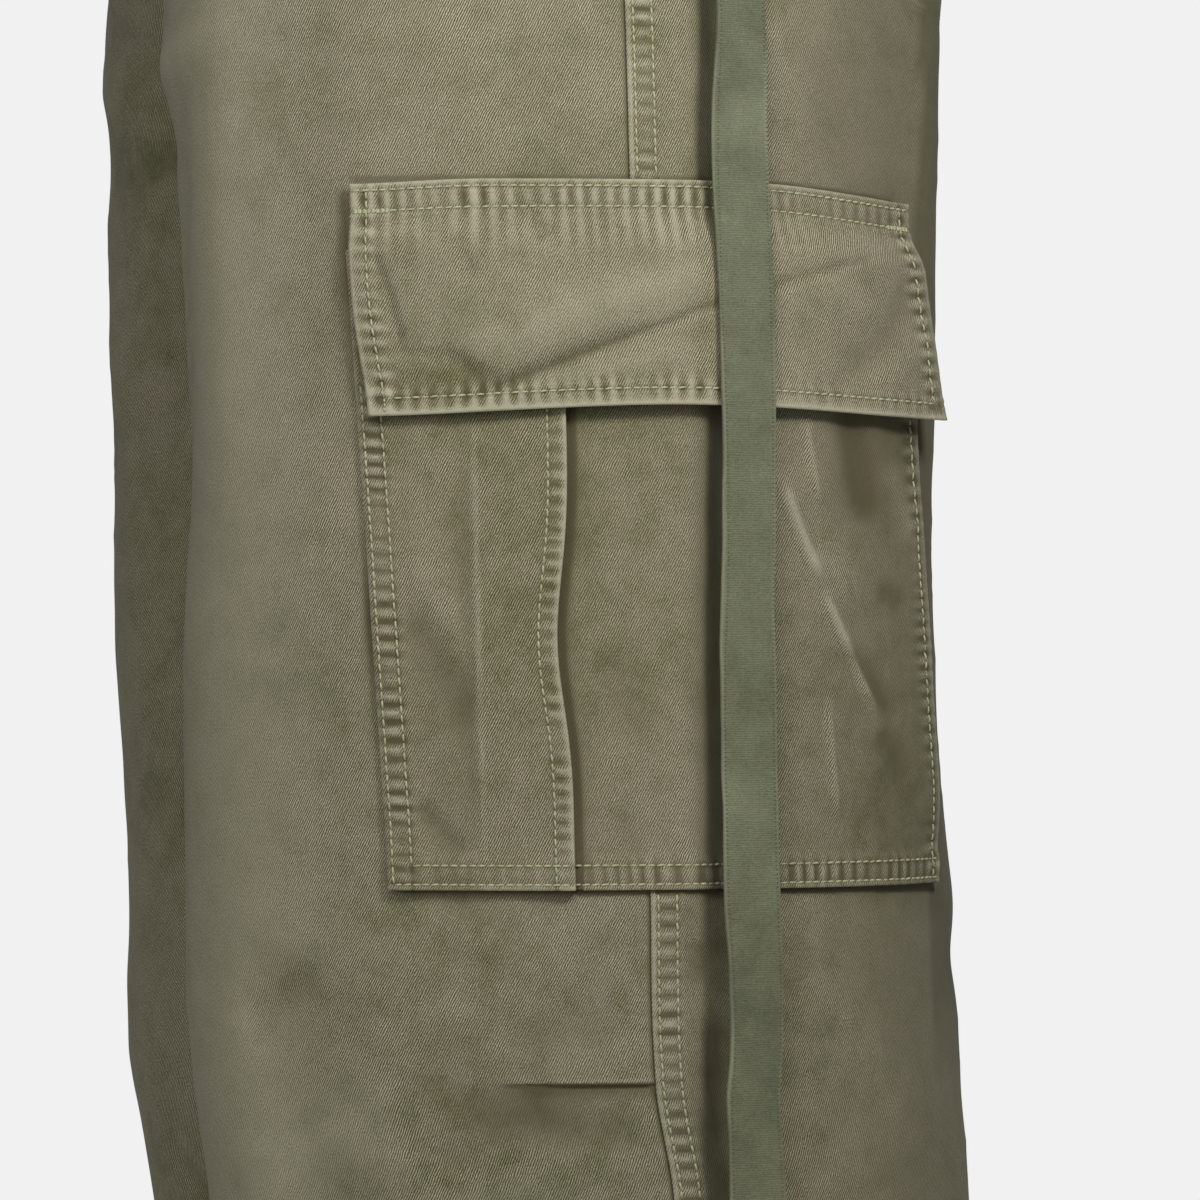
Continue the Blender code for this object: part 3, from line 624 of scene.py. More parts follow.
SEAM_SEWING = EdgeSewing((TWIN_NEAR, TWIN_FAR), 0.0100, 0.00085, 0.00056, 11)
INSEAM_SEWING = EdgeSewing((TWIN_NEAR, TWIN_FAR), 0.0100, 0.00085, 0.00038, 23)
HEM_SEWING = EdgeSewing((HEM_ROW,), HEM_DEPTH, 0.0009, 0.00034, 31)
BAND_SEWING = EdgeSewing((BAND_ROW,), 0.0, 0.0, 0.00020, 37)
POCKET_SEWING = EdgeSewing((TWIN_NEAR, TWIN_FAR), 0.0098, 0.00060, 0.00046, 41)
BELLOWS_SEWING = EdgeSewing((BELLOWS_ROW,), 0.0052, 0.00040, 0.00036, 53)
PLEAT_SEWING = EdgeSewing((EDGE_ROW,), 0.0068, 0.00045, 0.00030, 61, middle=0.55, reach=0.0028)
FLAP_TOP_SEWING = EdgeSewing(FLAP_ROWS, 0.0110, 0.00055, 0.00044, 71)
FLAP_EDGE_SEWING = EdgeSewing((EDGE_ROW,), 0.0066, 0.00055, 0.00034, 83)


class Leg:
    """One leg and its half of the seat, with folds: what every sewn piece lies on."""

    TUCK_LENGTH = 0.056
    TUCK_FADE = 0.028     # above and below its ledge
    LEDGE = 0.0013        # height of the ledge, and depth of the hollow under it
    HOLLOW = 0.0003

    def __init__(self, side: Side) -> None:
        """Lay out both halves of the leg and pick its creases."""
        self.side = side
        self.forms = {half: LegForm(half, side) for half in Half}
        self.creases = all_creases()

    def length(self, half: Half, z: Array) -> Array:
        """Length of a half's cloth from the side seam to its inner edge at heights z."""
        return self.forms[half].length(z)

    def creased(self, piece: str, s: Array, z: Array, largest: float = 1.0) -> Array:
        """Sum of a piece's creases, up to the largest height, at lengths s and heights z."""
        total = np.zeros(np.broadcast(s, z).shape)
        for row in self.creases:
            if row.piece != piece or abs(row.height) > largest:
                continue
            run_s = row.s_end - row.s_start
            run_z = row.z_end - row.z_start
            length = math.hypot(run_s, run_z)
            off_s = s - row.s_start
            off_z = z - row.z_start
            t = (off_s * run_s + off_z * run_z) / length**2
            aside = (off_z * run_s - off_s * run_z) / length
            aside = aside - row.bow * 4.0 * t * (1.0 - t)
            fade = ease(4.0 * t) * ease(4.0 * (1.0 - t))
            total += row.height * fade * bell(aside, row.width * (1.0 + row.skew * np.sign(aside)))
        return total

    def painted_strap_shadow(self, s: Array, z: Array) -> Array:
        """Painted shadow of the hanging strap, on the cloth in front of it, at signed lengths s, from 0 to 1.
        """
        if self.side is Side.RIGHT:
            return np.zeros(np.broadcast(s, z).shape)
        edge = column(STRAP_ROWS, "behind", z) - 0.0080 + 0.0012 * wander(z, 0.030, 93)
        return bell(s - edge, 0.0062) * ease((-0.20 - z) / 0.05) * ease((z + 0.83) / 0.10)

    def tuck(self, half: Half, s: Array, z: Array) -> Array:
        """Ledge of the knee tucks, pinched at both of the front panel's seams."""
        total = np.zeros(np.broadcast(s, z).shape)
        if half is Half.BACK:
            return total
        above = self.LEDGE * ease(1.0 - (z - KNEE) / self.TUCK_FADE) ** 1.3
        below = -self.HOLLOW * ease(1.0 - (KNEE - z) / self.TUCK_FADE)
        for away in (s, self.length(half, z) - s):
            reach = ease(away / 0.006 + 0.25) * ease(2.0 * (1.0 - away / self.TUCK_LENGTH))
            total += reach * np.where(z > KNEE, above, below)
        return total

    def relief(self, half: Half, s: Array, z: Array) -> Array:
        """Height of the panel's folds over the form. Lengths s are positive here."""
        return self.creased(f"{half.value}_{self.side.value}", half.sign * s, z) + self.tuck(half, s, z)

    def place(self, s: Array, z: Array, lift: Array) -> Pair:
        """Find points that stand off the folded panels.

        Args:
            s: Signed lengths from the side seam.
            z: Heights.
            lift: Distances out from the folded cloth.

        Returns:
            The points and the directions out.
        """
        s, z, lift = np.broadcast_arrays(np.asarray(s, float), np.asarray(z, float), lift)
        away = np.abs(s)
        halves = [(*self.forms[half].at(away, z), self.relief(half, away, z)[..., None]) for half in Half]
        is_front = (s < 0.0)[..., None]
        point, out, height = (np.where(is_front, front, back) for front, back in zip(*halves))
        return point + out * (height + lift[..., None]), out


def make_sheet(
    name: str,
    points: Array,
    normals: Array,
    thickness: float,
    uv: Array,
    wear_and_shade: Array,
    finish: Material,
) -> Piece:
    """Make one closed wall of cloth from a grid.

    Args:
        name: Name of the piece.
        points: Outer face, rows by columns by three.
        normals: Directions out at the same points.
        thickness: Thickness of the cloth.
        uv: Places on the cloth in metres, rows by columns by two.
        wear_and_shade: Paleness of the cloth at the same points, from rubbing and from painted light and
            shade.
        finish: Its material.

    Returns:
        The piece.
    """
    rows, cols = points.shape[:2]
    count = rows * cols
    verts = np.concatenate([points.reshape(-1, 3), (points - normals * thickness).reshape(-1, 3)])
    index = np.arange(count).reshape(rows, cols)
    cells = np.stack([index[:-1, :-1], index[1:, :-1], index[1:, 1:], index[:-1, 1:]], axis=-1).reshape(-1, 4)
    edge = np.concatenate([index[0, :-1], index[:-1, -1], index[-1, :0:-1], index[:0:-1, 0]])
    ahead = np.roll(edge, -1)
    rim = np.stack([edge, ahead, ahead + count, edge + count], axis=-1)
    faces = np.concatenate([cells, cells[:, ::-1] + count, rim])
    middle = cells[len(cells) // 2]
    corner = verts[middle]
    facing = np.cross(corner[1] - corner[0], corner[2] - corner[0])
    if facing @ normals.reshape(-1, 3)[middle[0]] < 0.0:
        faces = faces[:, ::-1]
    mesh = bpy.data.meshes.new(name)
    mesh.vertices.add(len(verts))
    mesh.vertices.foreach_set("co", verts.astype(np.float32).ravel())
    mesh.loops.add(faces.size)
    mesh.loops.foreach_set("vertex_index", faces.astype(np.int32).ravel())
    mesh.polygons.add(len(faces))
    mesh.polygons.foreach_set("loop_start", np.arange(0, faces.size, 4, dtype=np.int32))
    mesh.update(calc_edges=True)
    layer = mesh.uv_layers.new(name="cloth")
    flat = uv.reshape(-1, 2)[faces.ravel() % count]
    layer.data.foreach_set("uv", flat.astype(np.float32).ravel())
    # the attribute carries paleness from rubbing, and painted light and shade
    wear_and_shade_attribute = mesh.attributes.new(name="wear_and_shade", type="FLOAT", domain="POINT")
    wear_and_shade_attribute.data.foreach_set("value", np.tile(wear_and_shade.ravel(), 2).astype(np.float32))
    mesh.materials.append(finish)
    mesh.shade_smooth()
    piece = bpy.data.objects.new(name, mesh)
    bpy.context.scene.collection.objects.link(piece)
    return piece


class Stitching:
    """Stitches of one sub-assembly, gathered into one piece."""

    SIDES = 4
    DIVE = 1.2            # how far a stitch's ends sink, in thread radii
    RINGS = ((-0.5, 0.0), (-0.40, 0.85), (0.0, 1.15), (0.40, 0.85), (0.5, 0.0))

    def __init__(self, name: str) -> None:
        """Start with no stitches."""
        self.name = name
        self.parts: list[Array] = []
        self.count = 0

    def run(self, points: Array, out: Array, pitch: float = STITCH_PITCH) -> None:
        """Sew a row of stitches along a line.

        Args:
            points: Closely spaced points of the line on the cloth.
            out: Directions out at the points.
            pitch: From one stitch to the next.
        """
        step = np.linalg.norm(np.diff(points, axis=0), axis=1)
        along = np.concatenate([[0.0], np.cumsum(step)])
        count = max(1, int(round(along[-1] / pitch)))
        pitch = along[-1] / count
        half = min(STITCH_LENGTH, 0.95 * pitch) / 2.0
        centre = (np.arange(count) + 0.5) * pitch

        def sample(values: Array, where: Array) -> Array:
            return np.stack([np.interp(where, along, values[:, k]) for k in range(3)], axis=-1)

        self.add(sample(points, centre - half), sample(points, centre + half), sample(out, centre))

    def add(self, start: Array, end: Array, normal: Array) -> None:
        """Add stitches that each go from a start to an end and lie on the cloth."""
        tangent = end - start
        length = np.linalg.norm(tangent, axis=1, keepdims=True)
        tangent = tangent / length
        side = np.cross(normal, tangent)
        side /= np.linalg.norm(side, axis=1, keepdims=True)
        up = np.cross(tangent, side)
        draws = noise_table(5).ravel()
        jitter = draws[np.arange(self.count, self.count + len(start)) % len(draws), None]
        tangent_turned = tangent + side * (0.07 * jitter + 0.05)
        centre = (start + end) / 2.0 + normal * THREAD * (0.60 + 0.15 * jitter)
        angles = (np.arange(self.SIDES) * 2.0 * math.pi / self.SIDES)[None, :, None]
        spokes = np.cos(angles) * side[:, None, :] + np.sin(angles) * up[:, None, :]
        rings = []
        for place, width in self.RINGS:
            sunk = THREAD * self.DIVE * (2.0 * abs(place)) ** 5
            middle = (centre + tangent_turned * length * place - normal * sunk)[:, None, :]
            rings.append(middle if width == 0.0 else middle + THREAD * width * spokes)
        self.parts.append(np.concatenate(rings, axis=1))
        self.count += len(start)

    def faces(self) -> list[tuple[int, ...]]:
        """Faces of one stitch."""
        n = self.SIDES
        pairs = [(k, (k + 1) % n) for k in range(n)]
        faces: list[tuple[int, ...]] = [(0, 1 + ahead, 1 + k) for k, ahead in pairs]
        for low in (1, 1 + n):
            faces += [(low + k, low + ahead, low + n + ahead, low + n + k) for k, ahead in pairs]
        low = 1 + 2 * n
        return faces + [(low + k, low + ahead, low + n) for k, ahead in pairs]

    def build(self, finish: Material) -> Piece:
        """Make the piece from every stitch added so far."""
        verts = np.concatenate(self.parts)
        per = verts.shape[1]
        base = self.faces()
        faces = [tuple(v + k * per for v in face) for k in range(len(verts)) for face in base]
        mesh = bpy.data.meshes.new(self.name)
        mesh.from_pydata(verts.reshape(-1, 3).tolist(), [], faces)
        mesh.materials.append(finish)
        mesh.shade_smooth()
        piece = bpy.data.objects.new(self.name, mesh)
        bpy.context.scene.collection.objects.link(piece)
        return piece


@dataclass
class Panel:
    """Front or back of one leg and half of the seat, cut in one piece.

    Attributes:
        leg: The leg it belongs to.
        half: Front or back.
        step: Spacing of its rows round the thigh and knee.
        edge_columns: Close columns along each edge.
        middle_columns: Columns between them.
        far_step: Spacing of the other rows.
        hem_step: Spacing of the rows in the hem.
    """

    leg: Leg
    half: Half
    step: float
    edge_columns: int = 11
    middle_columns: int = 70
    far_step: float = 0.0050
    hem_step: float = 0.0020

    CLOSE_TOP = -0.245        # heights between which the rows are close
    CLOSE_FOOT = -0.700
    KNEE_ROWS = (0.0025, 0.0016, 0.0009, 0.0004, -0.0003, -0.0007, -0.0012, -0.0019, -0.0026)
    KNEE_CLEAR = 0.0030       # other rows this near the knee give way to those
    PRESSED_FOLD = 0.1245     # from the side seam to the fold pressed down the back
    EDGE_DIP = 0.0003         # where an edge runs under its neighbour
    # colour of the small creases: partly wear, partly painted light and shade
    CREASE_WEAR_AND_SHADE = 170.0

    @property
    def node(self) -> str:
        """The frame's node that the panel stands for."""
        return f"{self.half.value}_{self.leg.side.value}"

    def inside(self, s: Array, z: Array) -> Array:
        """Distance from the panel's inner edge."""
        return self.leg.length(self.half, z) - s

    def sewn_inside(self, z: Array) -> Array:
        """How far the inner edge is folded over its neighbour, from 0 to 1, at heights z."""
        below = ease((CROTCH - z) / 0.006 + 0.5)
        on_inseam = 1.0 if self.half is Half.BACK else 0.0
        on_centre = 1.0 if self.leg.side is Side.LEFT else 0.0
        return on_inseam * below + on_centre * (1.0 - below)

    def bare(self, z: Array) -> Array:
        """Share of the side seam that no pocket or flap covers at heights z."""
        return 1.0 - ease((z - POCKET_FOOT + 0.002) / 0.004) * ease((FLAP_TOP + 0.002 - z) / 0.004)

    def fineness(self, z: Array) -> Array:
        """Share of the puckers that the rows are close enough to show, at heights z."""
        close = ease((z + 0.715) / 0.015) * ease((-0.230 - z) / 0.015)
        return (0.25 + 0.75 * close) * (1.0 if self.step < 0.002 else 0.45)

    def lift(self, s: Array, z: Array) -> Array:
        """Height of the cloth over its folds at positive lengths s: seams, hem and unevenness."""
        inside, fold, fine = self.inside(s, z), self.sewn_inside(z), self.fineness(z)
        uneven = 0.0007 * soft_noise(s, z, 0.055, 3) + 0.00020 * soft_noise(s, z, 0.017, 4)
        rumples = 0.00035 * (1.0 - np.abs(soft_noise(s + 0.4 * z, z, 0.024, 6))) ** 3
        if self.half is Half.BACK:
            seam = SEAM_SEWING.relief(s, z, fine)
        else:
            seam = fine * 0.00022 * SEAM_SEWING.ripple(s + TWIN_NEAR, z) - self.EDGE_DIP * bell(s, 0.0020)
        inseam = fold * INSEAM_SEWING.relief(inside, z, fine)
        inseam = inseam - (1.0 - fold) * self.EDGE_DIP * bell(inside, 0.0020)
        drop = BAND_FOOT - z
        gathered = 0.0005 * soft_noise(s, z * 0.1, 0.016, 9) * ease(1.0 - drop / 0.045)
        band = gathered - 0.0005 * bell(drop, 0.0025)
        return uneven + rumples + self.bare(z) * seam + inseam + HEM_SEWING.relief(z - HEM, s) + band

    def front_light_and_shade(self, s: Array, z: Array) -> Array:
        """Painted highlights down the thigh and on the knee, and the tuck's painted shadow: a line with a
        pale lip, and shade under it.
        """
        # painted highlights on the thigh and the knee
        thigh = 0.55 * bell(s - 0.160, 0.040)
        knee = 0.30 * bell(s - 0.098, 0.026) * bell(z + 0.653, 0.020)
        rise = z - KNEE
        # painted shadow under the tuck: a band, a soft patch below, and a line with a pale lip
        under = 0.40 * ease((0.062 - s) / 0.020) * bell(rise + 0.0022, 0.0026)
        shade = 0.55 * bell(s - 0.050, 0.022) * bell(rise + 0.010 + 0.25 * (s - 0.050), 0.010)
        line = 1.5 * bell(rise + 0.0006, 0.0006) - 0.5 * bell(rise - 0.0010, 0.0010)
        return thigh + knee - under - shade - ease((Leg.TUCK_LENGTH - s) / 0.012) * line

    def back_shade(self, s: Array, z: Array) -> Array:
        """Painted shade behind the side and the strap's painted shadow, with a pale rim on the pressed fold
        and painted shade past it.
        """
        # painted shade on the back, turned from the light, and the strap's painted shadow
        turned = 0.38 * ease((s - 0.040) / 0.060) + 0.35 * self.leg.painted_strap_shadow(s, z)
        past = s - self.PRESSED_FOLD - 0.0012 * wander(z, 0.060, 91)
        rim = 0.16 * bell(past + 0.0008, 0.0009)
        # painted shade on the strip past the pressed fold
        strip = 0.28 * ease(past / 0.0012) * ease((0.178 - s) / 0.030)
        return ease((-0.12 - z) / 0.06) * ease((z + 0.66) / 0.06) * (rim - strip) - turned

    def wear_and_shade(self, s: Array, z: Array) -> Array:
        """Paleness of the cloth at positive lengths s, from rubbing and from painted light and shade."""
        inside, fold, fine = self.inside(s, z), self.sewn_inside(z), self.fineness(z)
        creases = self.CREASE_WEAR_AND_SHADE * self.leg.creased(self.node, self.half.sign * s, z, SMALL_CREASE)
        if self.half is Half.BACK:
            pale = creases + self.back_shade(s, z) + self.bare(z) * SEAM_SEWING.wear_and_shade(s, z, fine)
        else:
            # painted shadow: a darker line where the front's edge runs under the back's at the side seam
            pale = creases + self.front_light_and_shade(s, z) - 1.2 * self.bare(z) * bell(s - 0.0008, 0.0009)
        # painted shadow: a darker line where the edge runs under its neighbour, where it is not folded over
        inseam = fold * INSEAM_SEWING.wear_and_shade(inside, z, fine) - (1.0 - fold) * bell(inside - 0.0007, 0.0009)
        return pale + inseam + HEM_SEWING.wear_and_shade(z - HEM, s) - 0.9 * self.edge_shade(s, z)

    def edge_shade(self, s: Array, z: Array) -> Array:
        """Painted shade where the cloth runs under the pocket's and flap's edges, from 0 to 1."""
        past = s - pocket_edge(self.half, z)
        top = FLAP_TOP + 0.0012
        if self.half is Half.BACK:
            top = top - 0.0060 * ease((s - 0.030) / 0.100)
        beside = ease((top - 0.002 - z) / 0.002) * ease((z - POCKET_FOOT) / 0.002)
        ends = bell(z - top, 0.0010) + bell(z - POCKET_FOOT + 0.0006, 0.0011)
        return beside * bell(past - 0.0004, 0.0011) + ease(-past / 0.002) * ends

    def rows(self) -> Array:
        """Heights of the rows, close together where the cloth is busiest."""
        hem = HEM + HEM_DEPTH + 0.004
        zones = (
            # top                  foot             step
            (BAND_FOOT + SEAM_LAP, self.CLOSE_TOP, self.far_step),
            (self.CLOSE_TOP, self.CLOSE_FOOT, self.step),
            (self.CLOSE_FOOT, hem, self.far_step),
            (hem, HEM, self.hem_step),
        )
        parts = [
            np.linspace(top, foot, int(round((top - foot) / step)), endpoint=False)
            for top, foot, step in zones
        ]
        z = np.concatenate([*parts, [HEM]])
        z = z[np.abs(z - KNEE) > self.KNEE_CLEAR]
        return np.sort(np.concatenate([z, KNEE + np.array(self.KNEE_ROWS)]))[::-1]

    def grid(self) -> Pair:
        """Positive lengths and heights of the panel's points, rows by columns."""
        z = self.rows()[:, None]
        length = self.leg.length(self.half, z)
        near = np.linspace(-SEAM_LAP, SEAM_REACH, self.edge_columns)[None, :]
        shares = np.linspace(0.0, 1.0, self.middle_columns + 2)[None, 1:-1]
        middle = SEAM_REACH + (length - 2.0 * SEAM_REACH) * shares
        s = np.concatenate([near + 0.0 * z, middle, length - near[:, ::-1]], axis=1)
        return s, np.broadcast_to(z, s.shape)

    def line(self, s: Array, z: Array) -> Pair:
        """Points on the cloth, and directions out, at positive lengths s."""
        return self.leg.place(self.half.sign * s, z, self.lift(s, z))

    def build(self, finish: Material) -> Piece:
        """Make the panel's cloth."""
        s, z = self.grid()
        uv = np.stack([self.leg.side.hand * self.half.sign * s, z], axis=-1)
        name = f"{self.half.value}_panel_{self.leg.side.value}"
        return make_sheet(name, *self.line(s, z), THIN, uv, self.wear_and_shade(s, z), finish)

    def cut(self) -> tuple[float, float, float]:
        """Width, length and area of the panel's flat cut, in metres."""
        length = self.leg.length(self.half, np.linspace(BAND_FOOT, HEM, 400))
        return float(length.max()), BAND_FOOT - HEM, float(length.mean() * (BAND_FOOT - HEM))

    def sew(self, stitching: Stitching) -> None:
        """Sew the seams that lie on this panel, and its hem."""
        top = BAND_FOOT - 0.001
        foot = HEM + 0.001
        if self.half is Half.BACK:
            for row in (TWIN_NEAR, TWIN_FAR):
                for start, end in ((top, FLAP_TOP + 0.002), (POCKET_FOOT - 0.0015, foot)):
                    stitching.run(*self.line(row, np.arange(start, end, -0.001)))
        for row in (TWIN_NEAR, TWIN_FAR):
            if self.half is Half.BACK:
                z = np.arange(CROTCH - 0.004, foot, -0.001)
                stitching.run(*self.line(self.inside(row, z), z))
            if self.leg.side is Side.LEFT:
                start = FLY_FOOT - 0.003 if self.half is Half.FRONT else top
                z = np.arange(start, CROTCH + 0.005, -0.0005)
                stitching.run(*self.line(self.inside(row, z), z))
        z = HEM + HEM_ROW
        stitching.run(*self.line(np.arange(0.001, float(self.leg.length(self.half, z)) - 0.001, 0.001), z))

    def make(self, cloth: "Finishes", sewing: Stitching) -> None:
        """Build and dress the panel, and add its stitches to the leg's."""
        piece = dress(self.build(cloth.twill), "twill", self.node)
        width, length, area = self.cut()
        self.sew(sewing)


@dataclass
class Waistband:
    """Half of the waistband. The left half laps over the right one in front.

    Attributes:
        side: The wearer's side.
        step: Spacing of its columns.
        rows: Rows from top to foot.
        thickness: Thickness of the folded band.
        inset: From its ends and edges to the front end's stitches.
    """

    side: Side
    step: float = 0.0022
    rows: int = 24
    thickness: float = 0.0022
    inset: float = 0.003

    LAYERS = 0.0026 + LAYER_GAP         # height of the lap
    BUTTON_ANGLE = -math.pi / 2.0 + 0.4 * LAP_ANGLE
    HOLE_STITCHES = (np.arange(44) - 12.0) * 0.0005     # places along the buttonhole

    def lap(self, angle: Array) -> Array:
        """How far the band stands over the other half's end at these angles."""
        if self.side is Side.RIGHT:
            return np.zeros_like(angle)
        past = angle + math.pi / 2.0 - 1.1 * LAP_ANGLE
        return self.LAYERS * (1.0 - ease(past / (0.6 * LAP_ANGLE)))

    def span(self) -> tuple[float, float]:
        """Angles of the half band's two ends."""
        over = SEAM_LAP / BAND_RADIUS
        front = -math.pi / 2.0
        if self.side is Side.LEFT:
            return front - 0.2 * LAP_ANGLE, math.pi / 2.0 + over
        return -over - 1.5 * math.pi, front + LAP_ANGLE

    def place(self, angle: Array, z: Array) -> Pair:
        """Points of the band's outer face, and directions out, at these angles and heights."""
        angle, z = np.broadcast_arrays(angle, z)
        outer = column(FORM, "outer", z)
        depth = np.where(np.sin(angle) < 0.0, column(FORM, "front", z), column(FORM, "back", z))
        out = np.stack([np.cos(angle) / outer, np.sin(angle) / depth, np.zeros_like(z)], axis=-1)
        out /= np.linalg.norm(out, axis=-1, keepdims=True)
        along = angle * BAND_RADIUS
        sewn = BAND_SEWING.relief(BAND_TOP - z, along) + BAND_SEWING.relief(z - BAND_FOOT, along + 0.3)
        uneven = 0.0003 * soft_noise(along, z, 0.016, 17) - 0.0004 * bell(BAND_TOP - z, 0.0010)
        lift = BAND_PROUD + self.lap(angle) + sewn + uneven
        point = np.stack([outer * np.cos(angle), depth * np.sin(angle), z], axis=-1)
        return point + out * lift[..., None], out

    def run_length(self) -> float:
        """Length of the band, measured round its middle."""
        points, _ = self.place(np.linspace(*self.span(), 400), 0.0)
        return float(np.linalg.norm(np.diff(points, axis=0), axis=1).sum())

    def build(self, finish: Material) -> Piece:
        """Make this half of the band."""
        start, end = self.span()
        angle = np.linspace(start, end, int((end - start) * BAND_RADIUS / self.step))[None, :]
        z = np.linspace(BAND_TOP, BAND_FOOT, self.rows)[:, None]
        angle, z = np.broadcast_arrays(angle, z)
        along = angle * BAND_RADIUS
        wear_and_shade = BAND_SEWING.wear_and_shade(BAND_TOP - z, along) + BAND_SEWING.wear_and_shade(z - BAND_FOOT, along + 0.3)
        uv = np.stack([z, along], axis=-1)
        name = f"waist_band_{self.side.value}"
        return make_sheet(name, *self.place(angle, z), self.thickness, uv, wear_and_shade, finish)

    def sew(self, stitching: Stitching) -> None:
        """Sew along the band's top and foot, and the left half's front end and buttonhole."""
        start, end = self.span()
        first = start + self.inset / BAND_RADIUS
        angle = np.arange(first, end, 0.001 / BAND_RADIUS)
        for z in (BAND_TOP - BAND_ROW, BAND_FOOT + BAND_ROW):
            stitching.run(*self.place(angle, z))
        if self.side is Side.RIGHT:
            return
        stitching.run(*self.place(first, np.arange(BAND_TOP - self.inset, BAND_FOOT + self.inset, -0.0005)))
        around = self.BUTTON_ANGLE + self.HOLE_STITCHES / BAND_RADIUS
        for near, far in ((0.0004, 0.0020), (-0.0004, -0.0020)):
            inner, _ = self.place(around, near)
            outer, out = self.place(around + 0.0002 / BAND_RADIUS, far)
            stitching.add(inner, outer, out)

    def make(self, cloth: "Finishes") -> None:
        """Build, dress and sew this half of the band, and the left half's button."""
        piece = dress(self.build(cloth.twill), "twill", f"waistband_{self.side.value}")
        self.run_length()
        sewing = Stitching(f"band_stitching_{self.side.value}")
        self.sew(sewing)
        if self.side is Side.LEFT:
            low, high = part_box("waist_button")
            _, out = self.place(self.BUTTON_ANGLE, 0.0)
            button = Button((Vector(low) + Vector(high)) / 2.0, Vector(out))
            dress(button.build(cloth.button), "button", "waist_button")
            button.sew(sewing)
        dress(sewing.build(cloth.thread), "twill")


@dataclass
class Fly:
    """J-shaped placket on the left front beside the centre seam.

    Attributes:
        leg: The leg it is sewn on.
        curve: Height of its curved foot.
        thickness: Thickness of its cloth.
        columns: Columns from the seam to its edge.
        rows: Rows from top to foot.
        stitch_rows: Distances of its stitch rows from its edge.
    """

    leg: Leg
    curve: float = 0.040
    thickness: float = 0.0011
    columns: int = 34
    rows: int = 110
    stitch_rows: tuple[float, ...] = (0.0020, 0.0080)

    def place(self, e: Array, z: Array) -> Pair:
        """Points on the placket, and directions out, at distances e from the centre seam."""
        s = self.leg.length(Half.FRONT, z) - e
        uneven = 0.0002 * soft_noise(s, z, 0.012, 19)
        return self.leg.place(-s, z, LAYER_GAP + CLOTH + BAND_SEWING.relief(FLY_WIDTH - e, z) + uneven)

    def foot(self, e: Array) -> Array:
        """Height of the curved foot at distances e from the centre seam."""
        share = np.clip(e / FLY_WIDTH, 0.0, 1.0)
        return FLY_FOOT + self.curve * (1.0 - np.sqrt(1.0 - share**2))

    def build(self, finish: Material) -> Piece:
        """Make the placket."""
        e = np.linspace(0.0004, FLY_WIDTH, self.columns)[None, :]
        top = BAND_FOOT - 0.0008
        z = top + (self.foot(e) - top) * np.linspace(0.0, 1.0, self.rows)[:, None]
        e, z = np.broadcast_arrays(e, z)
        wear_and_shade = bell(FLY_WIDTH - e, 0.0011) + bell(z - self.foot(e), 0.0011)
        uv = np.stack([-e, z], axis=-1)
        return make_sheet("fly_front", *self.place(e, z), self.thickness, uv, wear_and_shade, finish)

    def sew(self, stitching: Stitching) -> None:
        """Sew the J: straight down, then round to the centre seam."""
        turn = FLY_FOOT + self.curve
        straight = np.arange(BAND_FOOT - 0.002, turn, -0.001)
        angle = np.linspace(0.0, math.pi / 2.0, 60)
        for row in self.stitch_rows:
            reach = FLY_WIDTH - row
            e = np.concatenate([np.full(len(straight), reach), reach * np.cos(angle)])
            z = np.concatenate([straight, turn - (self.curve - row) * np.sin(angle)])
            stitching.run(*self.place(np.maximum(e, 0.0008), z))

    def make(self, cloth: "Finishes") -> None:
        """Build, dress and sew the placket."""
        piece = dress(self.build(cloth.twill), "twill", "fly_placket")
        sew("fly_stitching", self, cloth.thread, "twill")


